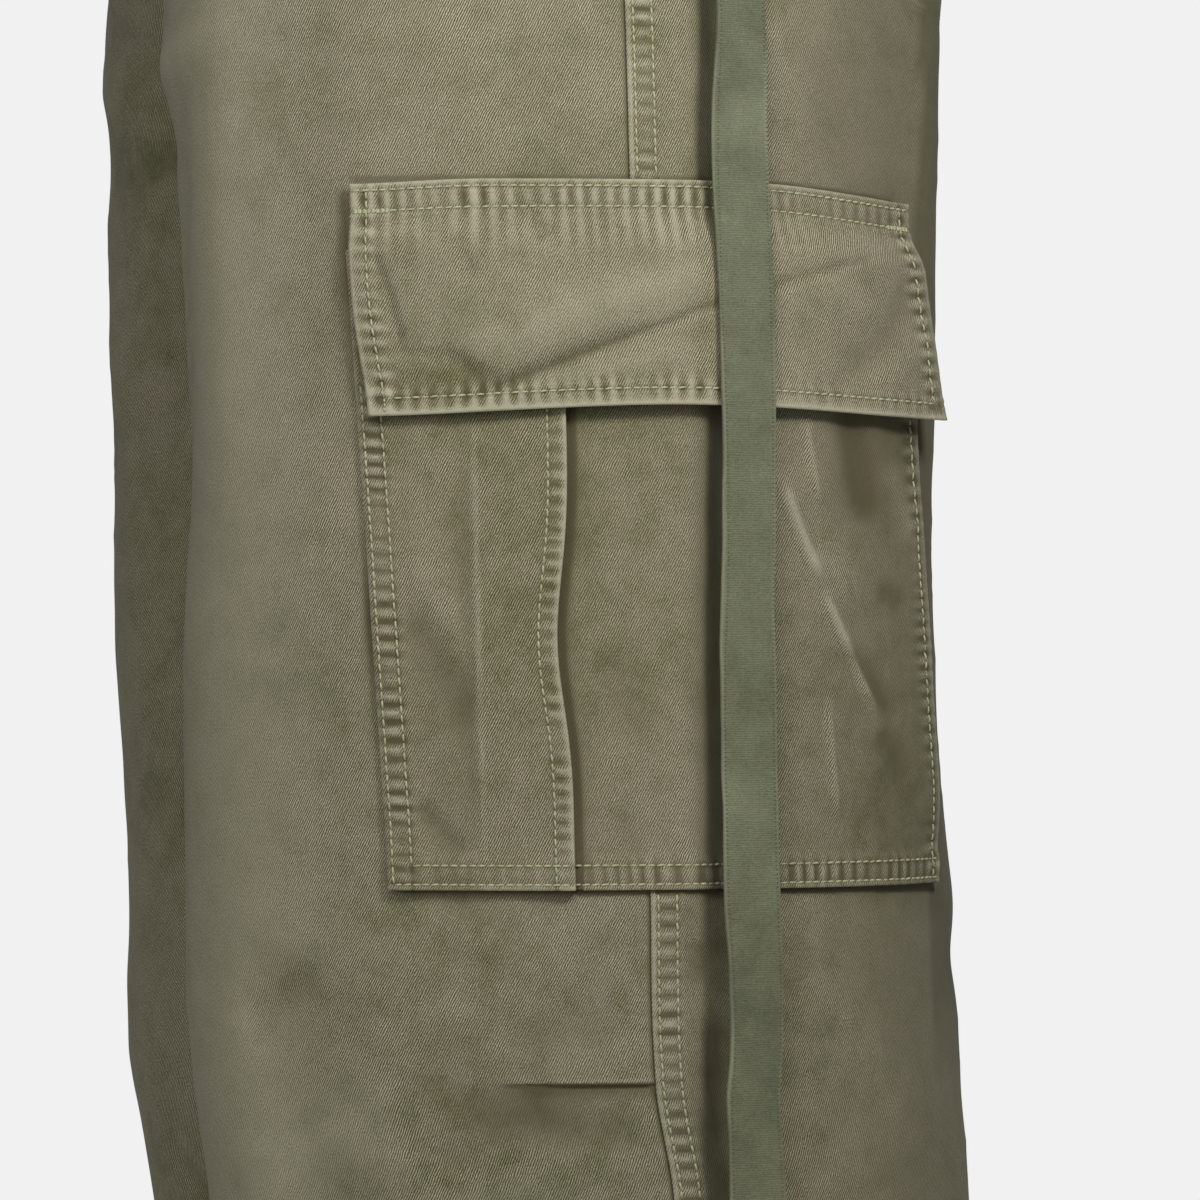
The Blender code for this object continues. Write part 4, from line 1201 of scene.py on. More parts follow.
@dataclass
class CargoPocket:
    """Patch pocket with a stitched pleat and a bellows fold along its back edge.

    Attributes:
        leg: The leg it is sewn on.
        step: Spacing of its points.
        width: Width of the pocket, laid flat; not used.
        thickness: Thickness of its cloth.
        swell_foot: Height over which it swells from its foot.
        mouth: Height over which it draws in towards its mouth.
        pleat_rise: Height of the pleat's fold where the pocket is full.
        pleat_least: Height of the fold at the least.
        slit: Depth of the cloth beside the fold.
        spans: Lengths of the pocket before and behind the fold, for counting points.
    """

    leg: Leg
    step: float
    width: float = 0.222
    thickness: float = 0.0013
    swell_foot: float = 0.040
    mouth: float = 0.060
    pleat_rise: float = 0.0033
    pleat_least: float = 0.0016
    slit: float = 0.0011
    spans: tuple[float, float] = (0.070, 0.150)

    # colour of the small creases: partly wear, partly painted light and shade
    CREASE_WEAR_AND_SHADE = 230.0
    # painted highlight on crease ridges, added to their wear
    RIDGE_HIGHLIGHT = 200.0        # more, where a crease stands out
    FACING = 0.0885           # from the side seam to the end of the layers at its foot

    @property
    def piece(self) -> str:
        """Name of the pocket's rows in the table of creases."""
        return f"pocket_{self.leg.side.value}"

    def fold(self, z: Array) -> Array:
        """Signed length of the pleat's folded edge: it wanders a little down the pocket."""
        return -0.0262 - 0.0052 * bell(z + 0.484, 0.034) - 0.0012 * ease((-0.50 - z) / 0.06)

    def swell(self, z: Array) -> Array:
        """How much of its full depth the pocket has at heights z."""
        mouth = 1.0 - 0.25 * ease(1.0 - (POCKET_TOP - z) / self.mouth)
        pressed = 1.0 - 0.5 * ease((z - FLAP_FOOT - 0.003) / 0.014)
        return ease((z - POCKET_FOOT) / self.swell_foot + 0.05) * mouth * pressed

    def band_share(self, s: Array) -> Array:
        """Share of the puckers that the foot seam has at signed lengths s."""
        return 0.30 + 0.70 * ease((s + 0.034) / 0.008)

    def lift(self, s: Array, z: Array) -> Array:
        """Height of the pocket's face over the panel at signed lengths s."""
        front, back = -pocket_edge(Half.FRONT, z), pocket_edge(Half.BACK, z)
        fold, swell = self.fold(z), self.swell(z)
        on_pleat = s <= fold + SAME_PLACE
        t = np.clip((s - front) / (fold - front), 0.0, 1.0)
        top = np.maximum(self.pleat_rise * swell, self.pleat_least) * (0.45 * t + 0.55 * ease(t))
        t = np.clip((s - fold) / (back - fold), 0.0, 1.0)
        under = (0.0002 + 0.0030 * t) * swell - self.slit * bell(s - fold, 0.0026)
        form = np.where(on_pleat, top + PLEAT_SEWING.relief(fold - s, z), under)
        sewn = POCKET_SEWING.relief(s - front, z) + BELLOWS_SEWING.relief(back - s, z)
        foot = POCKET_SEWING.relief(z - POCKET_FOOT, s, self.band_share(s))
        facing = ease((s - self.FACING) / 0.0008) * ease((POCKET_FOOT + 0.0105 - z) / 0.0008)
        uneven = 0.00035 * soft_noise(s, z, 0.030, 43) + 0.00014 * soft_noise(s, z, 0.011, 44)
        creases = self.leg.creased(self.piece, s, z)
        return LAYER_GAP + CLOTH + form + sewn + foot + 0.0006 * facing + creases + uneven

    def wear_and_shade(self, s: Array, z: Array) -> Array:
        """Paleness of the cloth at signed lengths s, from rubbing and from painted light and shade."""
        past = s - self.fold(z)
        back = pocket_edge(Half.BACK, z) - s
        creased = self.leg.creased(self.piece, s, z)
        pale = self.CREASE_WEAR_AND_SHADE * creased + self.RIDGE_HIGHLIGHT * np.maximum(creased, 0.0) - 0.10
        # paler where rubbed: a line by the pleat and the pleat's top layer
        tone_shift = 0.20 * bell(s + 0.0576, 0.0011)
        tone_shift = tone_shift + 0.14 * ease((s + 0.0585) / 0.001) * ease((-0.0270 - s) / 0.01)
        # painted shade on the back of the pocket, the strap's painted shadow, and painted shadow under the
        # flap at the back
        painted_shade = 0.26 * ease((s - 0.045) / 0.060) + 0.55 * self.leg.painted_strap_shadow(s, z)
        painted_shade = painted_shade + 0.22 * ease((s - 0.060) / 0.020) * ease((z + 0.455) / 0.030)
        sewn = POCKET_SEWING.wear_and_shade(s + pocket_edge(Half.FRONT, z), z)
        sewn = sewn + 0.8 * POCKET_SEWING.wear_and_shade(z - POCKET_FOOT, s, self.band_share(s))
        sewn = sewn + BELLOWS_SEWING.wear_and_shade(back, z) + 0.6 * bell(back, 0.0018)
        before = np.maximum(-past, 0.0)
        pleat = PLEAT_SEWING.wear_and_shade(before, z) + 0.35 * bell(before, 0.0015)
        # painted shade in the slit beside the pleat's fold
        beside = -1.5 * ease((0.0040 - past) / 0.0014) - 0.4 * bell(past, 0.0060)
        return pale + tone_shift - painted_shade + sewn + np.where(past <= 0.0006, pleat, beside)

    def line(self, s: Array, z: Array) -> Pair:
        """Points on the pocket, and directions out."""
        return self.leg.place(s, z, self.lift(s, z))

    def build(self, finish: Material) -> Piece:
        """Make the pocket's cloth, with the pleat's nose and the turned back edge."""
        hidden = np.arange(POCKET_TOP, FLAP_FOOT + 0.014, -0.004)
        shown = np.arange(FLAP_FOOT + 0.012, POCKET_FOOT, -self.step)
        z = np.concatenate([hidden, shown, [POCKET_FOOT]])[:, None]
        front, back, fold = -pocket_edge(Half.FRONT, z), pocket_edge(Half.BACK, z), self.fold(z)
        before, behind = (np.linspace(0.0, 1.0, int(span / self.step))[None, :] for span in self.spans)
        left = front + (fold - front) * before**0.95
        right = fold + 0.0008 + (back - fold - 0.0008) * behind
        top, bottom = self.lift(left, z), self.lift(right, z)
        nose, floor, edge = top[:, -1:], bottom[:, :1], bottom[:, -1:]
        middle = fold + np.array([[0.0003, 0.0005, 0.00065]])
        middle_lift = [nose - 0.0003, nose - 0.0012, floor + 0.3 * (nose - floor)]
        turned = back + np.array([[0.0003, 0.0002]])
        s = np.concatenate([left, middle, right, turned], axis=1)
        lift = np.concatenate([top, *middle_lift, bottom, 0.72 * edge, 0.30 * edge], axis=1)
        z = np.broadcast_to(z, s.shape)
        uv = np.stack([self.leg.side.hand * s + 0.37, z + 0.21], axis=-1)
        placed = self.leg.place(s, z, lift)
        return make_sheet(f"thigh_{self.piece}", *placed, self.thickness, uv, self.wear_and_shade(s, z), finish)

    def sew(self, stitching: Stitching) -> None:
        """Sew the twin rows, the pleat's row and the bellows' row."""
        z = np.arange(FLAP_FOOT + 0.010, POCKET_FOOT + TWIN_NEAR, -0.001)
        for row in (TWIN_NEAR, TWIN_FAR):
            down = z[z > POCKET_FOOT + row]
            stitching.run(*self.line(row - pocket_edge(Half.FRONT, down), down))
            s = np.arange(row - POCKET_FRONT[1], POCKET_BACK[1] - 0.002, 0.001)
            stitching.run(*self.line(s, POCKET_FOOT + row))
        stitching.run(*self.line(self.fold(z) - EDGE_ROW, z))
        down = z[z > POCKET_FOOT + 0.001]
        stitching.run(*self.line(pocket_edge(Half.BACK, down) - BELLOWS_ROW, down))

    def make(self, cloth: "Finishes") -> None:
        """Build, dress and sew the pocket."""
        side = self.leg.side.value
        piece = dress(self.build(cloth.pocket_twill), "pocket_twill", f"cargo_pocket_{side}")
        sew(f"pocket_stitching_{side}", self, cloth.thread, "pocket_twill")


@dataclass
class CargoFlap:
    """Pocket flap of two layers, sewn along its top and free below.

    Attributes:
        leg: The leg it is sewn on.
        step: Spacing of its points.
        width: Width of the flap, laid flat.
        inset: From the pocket's front edge to the flap's.
        corner: How much further in its bottom front corner lies.
        side_reach: How far its back edge is past the pocket's, at the top.
        overhang: How much further it is below.
        over_front: Its lift over the pocket at the front.
        over_pleat: How much more it lifts over the pleat.
        over_back: How much more it lifts at the back.
        flare: Flare of its bottom back corner.
    """

    leg: Leg
    step: float
    width: float = 0.218
    inset: float = 0.002
    corner: float = 0.004
    side_reach: float = 0.0015
    overhang: float = 0.003
    over_front: float = 0.0032
    over_pleat: float = 0.0020
    over_back: float = 0.0009
    flare: float = 0.0045

    DEPTH = FLAP_TOP - FLAP_FOOT
    SPREAD = POCKET_FRONT[0] + POCKET_BACK[0] + 0.004      # its width round the leg
    TACKS = ((0.006, 0.066), (0.940, 0.992))               # bar tacks, in shares of that
    # colour of the small creases: partly wear, partly painted light and shade
    CREASE_WEAR_AND_SHADE = 260.0

    @property
    def piece(self) -> str:
        """Name of the flap's rows in the table of creases."""
        return f"flap_{self.leg.side.value}"

    def spread(self, across: Array, drop: Array) -> Pair:
        """Signed length and height for shares across and down the flap."""
        z = FLAP_TOP + (FLAP_FOOT - FLAP_TOP) * drop
        front = self.inset - pocket_edge(Half.FRONT, z) + self.corner * ease((drop - 0.45) / 0.70)
        back = pocket_edge(Half.BACK, z) + self.side_reach + self.overhang * ease(drop / 0.5)
        s = front + (back - front) * across
        top = -0.3240 - 0.0060 * ease((s - 0.030) / 0.100) - 0.0015 * ease((-0.050 - s) / 0.050)
        foot = -0.4018 - 0.0040 * ease(np.abs(s - 0.015) / 0.115)
        return s, top + (foot - top) * drop

    def edges(self, across: Array, drop: Array) -> tuple[Array, Array, Array, Array]:
        """Distances from the flap's top, foot, front and back."""
        lengths = (drop * self.DEPTH, (1.0 - drop) * self.DEPTH)
        return (*lengths, across * self.SPREAD, (1.0 - across) * self.SPREAD)

    def pucker_share(self, s: Array) -> Array:
        """Share of the puckers at signed lengths s: fewer towards the back."""
        return 1.0 - 0.62 * ease((s - 0.026) / 0.030)

    def lift(self, s: Array, z: Array, across: Array, drop: Array) -> Array:
        """Height of the flap's face over the panel."""
        top, foot, front, back = self.edges(across, drop)
        share = self.pucker_share(s)
        rise = self.over_front + self.over_pleat * ease(across / 0.25) + self.over_back * across
        rise = rise * ease((drop - 0.10) / 0.22)
        rise = rise + self.flare * ease((across - 0.78) / 0.22) * ease((drop - 0.25) / 0.75)
        sewn = FLAP_TOP_SEWING.relief(top, s, share) + FLAP_EDGE_SEWING.relief(foot, s + 0.1, share)
        sides = FLAP_EDGE_SEWING.relief(front, z) + FLAP_EDGE_SEWING.relief(back, z + 0.2)
        rim = 0.0006 * bell(foot, 0.0022) * (0.8 + 0.5 * soft_noise(s, z, 0.020, 73))
        uneven = 0.00030 * soft_noise(s, z, 0.028, 75) + 0.00012 * soft_noise(s, z, 0.010, 76)
        creases = self.leg.creased(self.piece, s, z)
        return LAYER_GAP + FLAP_CLOTH + rise + sewn + sides + rim + creases + uneven

    def wear_and_shade(self, s: Array, z: Array, across: Array, drop: Array) -> Array:
        """Paleness of the cloth, from rubbing and from painted light and shade."""
        top, foot, front, back = self.edges(across, drop)
        share = self.pucker_share(s)
        creases = self.CREASE_WEAR_AND_SHADE * self.leg.creased(self.piece, s, z, SMALL_CREASE)
        # painted shade on the back of the flap, the strap's painted shadow, and a band under the top rows at
        # the back
        painted_shade = 0.30 * ease((s - 0.045) / 0.060) + 0.45 * self.leg.painted_strap_shadow(s, z)
        painted_shade = painted_shade + 0.22 * ease((s - 0.050) / 0.020) * bell(top - 0.0060, 0.0040)
        fans = FLAP_TOP_SEWING.ripple(top * 0.45, s) * ease((top - 0.009) / 0.003)
        sewn = FLAP_TOP_SEWING.wear_and_shade(top, s, share) + 0.55 * bell(foot, 0.0030) + 0.5 * share * fans
        sewn = sewn + FLAP_EDGE_SEWING.wear_and_shade(foot, s + 0.1, share)
        sides = FLAP_EDGE_SEWING.wear_and_shade(front, z) + FLAP_EDGE_SEWING.wear_and_shade(back, z + 0.2)
        return creases + 0.24 - painted_shade + sewn + sides

    def line(self, across: Array, drop: Array) -> Pair:
        """Points on the flap, and directions out, for shares across and down it."""
        across, drop = np.broadcast_arrays(across, drop)
        s, z = self.spread(across, drop)
        return self.leg.place(s, z, self.lift(s, z, across, drop))

    def build(self, finish: Material) -> Piece:
        """Make the flap."""
        across = np.linspace(0.0, 1.0, int(self.width / self.step))[None, :]
        drop = np.linspace(0.0, 1.0, int(0.080 / self.step))[:, None]
        across, drop = np.broadcast_arrays(across, drop)
        s, z = self.spread(across, drop)
        uv = np.stack([self.leg.side.hand * s + 0.11, z + 0.43], axis=-1)
        wear_and_shade = self.wear_and_shade(s, z, across, drop)
        return make_sheet(f"thigh_{self.piece}", *self.line(across, drop), THIN_FLAP, uv, wear_and_shade, finish)

    def sew(self, stitching: Stitching) -> None:
        """Sew two rows along the top, one round the free edges, and a bar at each top corner."""
        t = np.linspace(0.0, 1.0, 220)
        low_x, high_x = EDGE_ROW / self.SPREAD, 1.0 - EDGE_ROW / self.SPREAD
        low_y, high_y = FLAP_ROWS[0] / self.DEPTH, 1.0 - EDGE_ROW / self.DEPTH
        for row in FLAP_ROWS:
            stitching.run(*self.line(0.004 + 0.990 * t, row / self.DEPTH))
        for side in (low_x, high_x):
            stitching.run(*self.line(side, low_y + (high_y - low_y) * t))
        stitching.run(*self.line(low_x + (high_x - low_x) * t, high_y))
        for start, end in self.TACKS:
            bar = start + (end - start) * t[::4]
            for shift in (-0.0004, 0.0, 0.0004):
                stitching.run(*self.line(bar, (FLAP_ROWS[1] + shift) / self.DEPTH), pitch=0.0016)
        stitching.run(*self.line(low_x, high_y + (1.0 - high_y) * 0.8 * t[::6]), pitch=0.0018)

    def make(self, cloth: "Finishes") -> None:
        """Build, dress and sew the flap."""
        side = self.leg.side.value
        piece = dress(self.build(cloth.pocket_twill), "pocket_twill", f"cargo_flap_{side}")
        sew(f"flap_stitching_{side}", self, cloth.thread, "pocket_twill")


@dataclass
class Strap:
    """Tape folded double, sewn on the waistband behind the left side seam and hanging free.

    Attributes:
        leg: The leg it hangs beside.
        columns: Columns between its edges.
        step: Spacing of its rows.
        fold: Depth of the hem at its foot.
        inset: From its edges to the stitches.
        pitch: Pitch of its stitches.
    """

    leg: Leg
    columns: int = 17
    step: float = 0.0018
    fold: float = 0.012
    inset: float = 0.002
    pitch: float = 0.0025

    HALF = STRAP_WIDTH / 2.0
    TOP = STRAP_ROWS[0].z
    FOOT = STRAP_ROWS[-1].z
    EDGE = np.array([0.0, 0.0005, 0.0011])        # close columns, in from each edge
    INNER = 0.0018

    def place(self, across: Array, z: Array, lift: Array) -> Pair:
        """Points on the tape's outer face, and directions out of it.

        Args:
            across: Places across the tape, from minus to plus half its width.
            z: Heights.
            lift: Distances out from the tape's face.

        Returns:
            The points and the directions out.
        """
        across, z, lift = np.broadcast_arrays(across, z, lift)
        centre, out = self.leg.forms[Half.BACK].at(column(STRAP_ROWS, "behind", z), z)
        out = out * np.array([1.0, 1.0, 0.0])
        out /= np.linalg.norm(out, axis=-1, keepdims=True)
        side = np.stack([-out[..., 1], out[..., 0], np.zeros_like(z)], axis=-1)
        turn = np.radians(column(STRAP_ROWS, "turn", z))[..., None]
        face = out * np.cos(turn) - side * np.sin(turn)
        width = side * np.cos(turn) + out * np.sin(turn)
        middle = centre + out * column(STRAP_ROWS, "stand_off", z)[..., None]
        return middle + width * across[..., None] + face * (TAPE / 2.0 + lift)[..., None], face

    def relief(self, across: Array, z: Array) -> Array:
        """Height of the tape's face: rounded edges, needle rows and soft waves."""
        away = self.HALF - np.abs(across)
        edges = 0.00012 * bell(away - 0.0006, 0.0006) - 0.00035 * bell(away, 0.0003)
        needles = 0.00012 * bell(away - 0.0014, 0.0004)
        waves = 0.00045 * soft_noise(across * 0.4, z, 0.026, 91) * (across / self.HALF)
        waves = waves + 0.00018 * soft_noise(across, z, 0.009, 92)
        return edges - needles + ease((-0.15 - z) / 0.10) * waves

    def line(self, across: Array, z: Array) -> Pair:
        """Points on the tape's face, and directions out."""
        return self.place(across, z, self.relief(across, z))

    def build(self, finish: Material) -> Piece:
        """Make the tape."""
        inner = np.linspace(self.INNER - self.HALF, self.HALF - self.INNER, self.columns)
        across = np.concatenate([self.EDGE - self.HALF, inner, self.HALF - self.EDGE[::-1]])[None, :]
        z = np.linspace(self.TOP, self.FOOT, int((self.TOP - self.FOOT) / self.step))[:, None]
        waver = 0.0009 * wander(z, 0.052, 95) + 0.0003 * wander(z, 0.016, 97)
        place, z = np.broadcast_arrays(across + waver * ease((-0.02 - z) / 0.10), z)
        uv = np.stack([place, z], axis=-1)
        wear_and_shade = 0.45 * bell(self.HALF - np.abs(across), 0.0008) + 0.35 * soft_noise(place, z, 0.030, 96)
        return make_sheet("side_strap", *self.line(place, z), TAPE - 0.0002, uv, wear_and_shade, finish)

    def sew(self, stitching: Stitching) -> None:
        """Sew the tape's top to the waistband in a box with a cross, and hem its foot."""
        reach = self.HALF - self.inset
        low, high = BAND_FOOT + 0.0045, self.TOP - self.inset
        box = ((-reach, high), (reach, high), (reach, low), (-reach, low))
        corners = (*box, box[0], box[2], box[3], box[1])
        t = np.linspace(0.0, 1.0, 20)
        for (start_x, start_z), (end_x, end_z) in zip(corners[:-1], corners[1:]):
            along = self.line(start_x + (end_x - start_x) * t, start_z + (end_z - start_z) * t)
            stitching.run(*along, pitch=self.pitch)
        stitching.run(*self.line(np.linspace(-reach, reach, 20), self.FOOT + self.fold), pitch=self.pitch)

    def make(self, cloth: "Finishes") -> None:
        """Build, dress and sew the tape."""
        piece = dress(self.build(cloth.tape), "tape", "strap_left")
        sew("strap_stitching", self, cloth.thread, "tape")


@dataclass
class Button:
    """Four-hole button with a raised rim, sewn on the waistband's lap.

    Attributes:
        centre: Its middle.
        away: Direction of its face.
        radius: Its radius.
        thickness: Its thickness.
        rim: Width of its raised rim.
        dish: Depth of its face under the rim.
        hole: Radius of its holes.
        hole_place: From the middle to the holes, across and up.
    """

    centre: Vector
    away: Vector
    radius: float = 0.0085
    thickness: float = 0.0026
    rim: float = 0.0014
    dish: float = 0.0006
    hole: float = 0.0009
    hole_place: float = 0.0019

    CORNERS = ((1, 1), (-1, 1), (-1, -1), (1, -1))
    ROUND = 0.0004        # bevel of its edges
    DRILL = 0.02          # length of the bit

    def holes(self) -> list[Vector]:
        """Places of the four holes on the button's face."""
        across = self.away.cross(Vector((0.0, 0.0, 1.0))).normalized()
        up = self.away.cross(across).normalized()
        face = self.centre + self.away * (self.thickness / 2.0 - self.dish)
        reach = self.hole_place
        return [face + (across * x * reach + up * y * reach) for x, y in self.CORNERS]

    def drill(self, disc: Piece, x: float, y: float) -> None:
        """Cut a hole through the disc."""
        bpy.ops.object.select_all(action="DESELECT")
        place = (x, y, 0.0)
        bpy.ops.mesh.primitive_cylinder_add(vertices=16, radius=self.hole, depth=self.DRILL, location=place)
        bit = bpy.context.object
        bpy.context.view_layer.objects.active = disc
        cut = disc.modifiers.new("hole", "BOOLEAN")
        cut.object = bit
        cut.operation = "DIFFERENCE"
        bpy.ops.object.modifier_apply(modifier=cut.name)
        bpy.data.objects.remove(bit)

    def build(self, finish: Material) -> Piece:
        """Turn the disc, sink its face and drill the holes."""
        bpy.ops.object.select_all(action="DESELECT")
        bpy.ops.mesh.primitive_cylinder_add(vertices=48, radius=self.radius, depth=self.thickness)
        disc = bpy.context.object
        bpy.ops.object.mode_set(mode="EDIT")
        bpy.ops.mesh.select_mode(type="FACE")
        bpy.ops.mesh.select_all(action="DESELECT")
        bpy.ops.object.mode_set(mode="OBJECT")
        for face in disc.data.polygons:
            face.select = face.normal.z > 0.9
        bpy.ops.object.mode_set(mode="EDIT")
        bpy.ops.mesh.inset(thickness=self.rim, depth=0.0)
        bpy.ops.mesh.inset(thickness=self.rim / 2.0, depth=-self.dish)
        bpy.ops.object.mode_set(mode="OBJECT")
        bevel = disc.modifiers.new("round", "BEVEL")
        bevel.width = self.ROUND
        bevel.segments = 3
        bpy.ops.object.modifier_apply(modifier=bevel.name)
        for x, y in self.CORNERS:
            self.drill(disc, x * self.hole_place, y * self.hole_place)
        bpy.ops.object.select_all(action="DESELECT")
        disc.select_set(True)
        bpy.ops.object.shade_smooth_by_angle(angle=math.radians(35.0))
        turn = self.away.to_track_quat("Z", "Y").to_matrix().to_4x4()
        disc.data.transform(Matrix.Translation(self.centre) @ turn)
        disc.name = "band_button"
        disc.data.materials.clear()
        disc.data.materials.append(finish)
        return disc

    def sew(self, stitching: Stitching) -> None:
        """Sew the button on with two bars of thread."""
        holes = self.holes()
        down = (holes[3] - holes[0]).normalized()
        for first, second in ((0, 1), (3, 2)):
            for shift in (-0.0003, 0.0, 0.0003):
                ends = (np.array([holes[place] + down * shift]) for place in (first, second))
                stitching.add(*ends, np.array([self.away]))


class Graph:
    """Short ways to add and link a node tree's nodes."""

    def __init__(self, tree: bpy.types.NodeTree) -> None:
        """Work on a tree."""
        self.tree = tree

    def add(self, kind: str, **settings: object) -> bpy.types.Node:
        """Add a node with these settings."""
        node = self.tree.nodes.new(kind)
        for name, value in settings.items():
            setattr(node, name, value)
        return node

    def put(self, socket: Socket, value: object) -> None:
        """Link a socket into another, or set its value. A colour of three parts is made opaque."""
        if isinstance(value, Socket):
            self.tree.links.new(value, socket)
        elif isinstance(value, tuple) and len(value) == 3:
            socket.default_value = (*value, 1.0)
        else:
            socket.default_value = value

    def math(self, operation: str, *values: object) -> Socket:
        """Add a math node and give its result."""
        node = self.add("ShaderNodeMath", operation=operation)
        for socket, value in zip(node.inputs, values):
            self.put(socket, value)
        return node.outputs[0]

    def mix(self, share: object, first: object, second: object, blend: str = "MIX") -> Socket:
        """Mix two colours and give the result."""
        node = self.add("ShaderNodeMix", data_type="RGBA", blend_type=blend)
        for place, value in ((0, share), (6, first), (7, second)):
            self.put(node.inputs[place], value)
        return node.outputs[2]

    def noise(self, place: Socket, size: float, detail: float = 2.0) -> Socket:
        """Noise from 0 to 1 with features of a size in metres."""
        node = self.add("ShaderNodeTexNoise", noise_dimensions="3D")
        for name, value in (("Vector", place), ("Scale", 1.0 / size), ("Detail", detail)):
            self.put(node.inputs[name], value)
        return node.outputs["Fac"]

    def mix_value(self, first: object, second: object, share: float) -> Socket:
        """Mix two values and give the result."""
        part = self.math("MULTIPLY", second, share)
        return self.math("ADD", self.math("MULTIPLY", first, 1.0 - share), part)

    def wave(self, phase: Socket) -> Socket:
        """A sine wave from 0 to 1."""
        return self.math("MULTIPLY_ADD", self.math("SINE", phase), 0.5, 0.5)

    def range(self, value: Socket, low: float, high: float, start: float = 0.0, end: float = 1.0) -> Socket:
        """Carry a value from one range to another, held inside it."""
        node = self.add("ShaderNodeMapRange")
        for socket, setting in zip(node.inputs, (value, low, high, start, end)):
            self.put(socket, setting)
        return node.outputs[0]

    def parts(self, vector: Socket) -> bpy.types.NodeOutputs:
        """The three parts of a vector."""
        apart = self.add("ShaderNodeSeparateXYZ")
        self.put(apart.inputs[0], vector)
        return apart.outputs


def node_group(name: str, given: str, wanted: tuple[str, ...]) -> tuple[Graph, Socket, bpy.types.NodeInputs]:
    """Start a shared shader group that takes one vector and gives values.

    Args:
        name: Name of the group.
        given: Label of its vector.
        wanted: Labels of its values.

    Returns:
        The graph, the socket that brings the vector, and the sockets that take the values.
    """
    tree = bpy.data.node_groups.new(name, "ShaderNodeTree")
    tree.interface.new_socket(name=given, in_out="INPUT", socket_type="NodeSocketVector")
    for label in wanted:
        tree.interface.new_socket(name=label, in_out="OUTPUT", socket_type="NodeSocketFloat")
    graph = Graph(tree)
    start, end = graph.add("NodeGroupInput"), graph.add("NodeGroupOutput")
    return graph, start.outputs[given], end.inputs


class Shared:
    """Shader groups that the finishes share."""

    TWILL_PITCH = 0.00078
    TWILL_ANGLE = math.radians(62.0)
    RIB_PITCH = 0.00080
    NEEDLE_PITCH = 0.0015
    NEEDLE_PLACE = 0.0088     # from the tape's middle to its needle rows

    def __init__(self) -> None:
        """Make each group once."""
        self.twill = self.make_twill()
        self.mottle = self.make_mottle()
        self.ribs = self.make_ribs()

    def make_twill(self) -> bpy.types.NodeTree:
        """Diagonal lines of a twill weave, uneven like spun yarn."""
        graph, cloth, wanted = node_group("twill_weave", "Cloth", ("Line", "Slub"))
        apart = graph.parts(cloth)
        turn = 2.0 * math.pi / self.TWILL_PITCH
        across = graph.math("MULTIPLY", apart[0], math.sin(self.TWILL_ANGLE) * turn)
        down = graph.math("MULTIPLY", apart[1], -math.cos(self.TWILL_ANGLE) * turn)
        drift = graph.math("MULTIPLY", graph.noise(cloth, 0.0030, 3.0), 7.0)
        phase = graph.math("ADD", graph.math("ADD", across, down), drift)
        graph.put(wanted["Line"], graph.wave(phase))
        graph.put(wanted["Slub"], graph.noise(cloth, 0.0007))
        return graph.tree

    def make_mottle(self) -> bpy.types.NodeTree:
        """Unevenness of a washed dye: large soft clouds, blotches and specks."""
        graph, place, wanted = node_group("washed_mottle", "Place", ("Warm", "Light"))
        cloud = graph.noise(place, 0.075)
        blotch = graph.noise(place, 0.011, 4.0)
        speck = graph.noise(place, 0.0026, 3.0)
        graph.put(wanted["Warm"], graph.range(graph.mix_value(cloud, blotch, 0.5), 0.35, 0.65))
        light = graph.mix_value(graph.mix_value(cloud, blotch, 0.50), speck, 0.22)
        graph.put(wanted["Light"], graph.range(light, 0.31, 0.69))
        return graph.tree

    def make_ribs(self) -> bpy.types.NodeTree:
        """Fine ribs across a woven tape, with needle holes along its edges."""
        graph, cloth, wanted = node_group("tape_ribs", "Cloth", ("Rib", "Hole"))
        apart = graph.parts(cloth)
        drift = graph.math("MULTIPLY", graph.noise(cloth, 0.0035, 3.0), 9.0)
        turns = graph.math("MULTIPLY", apart[1], 2.0 * math.pi / self.RIB_PITCH)
        rib = graph.wave(graph.math("ADD", turns, drift))
        speck = graph.range(graph.noise(cloth, 0.0009), 0.3, 0.7)
        graph.put(wanted["Rib"], graph.mix_value(rib, speck, 0.5))
        away = graph.math("SUBTRACT", graph.math("ABSOLUTE", apart[0]), self.NEEDLE_PLACE)
        row = graph.range(graph.math("ABSOLUTE", away), 0.0001, 0.0005, 1.0, 0.0)
        dots = graph.math("SINE", graph.math("MULTIPLY", apart[1], 2.0 * math.pi / self.NEEDLE_PITCH))
        graph.put(wanted["Hole"], graph.math("MULTIPLY", row, graph.range(dots, 0.2, 0.8)))
        return graph.tree


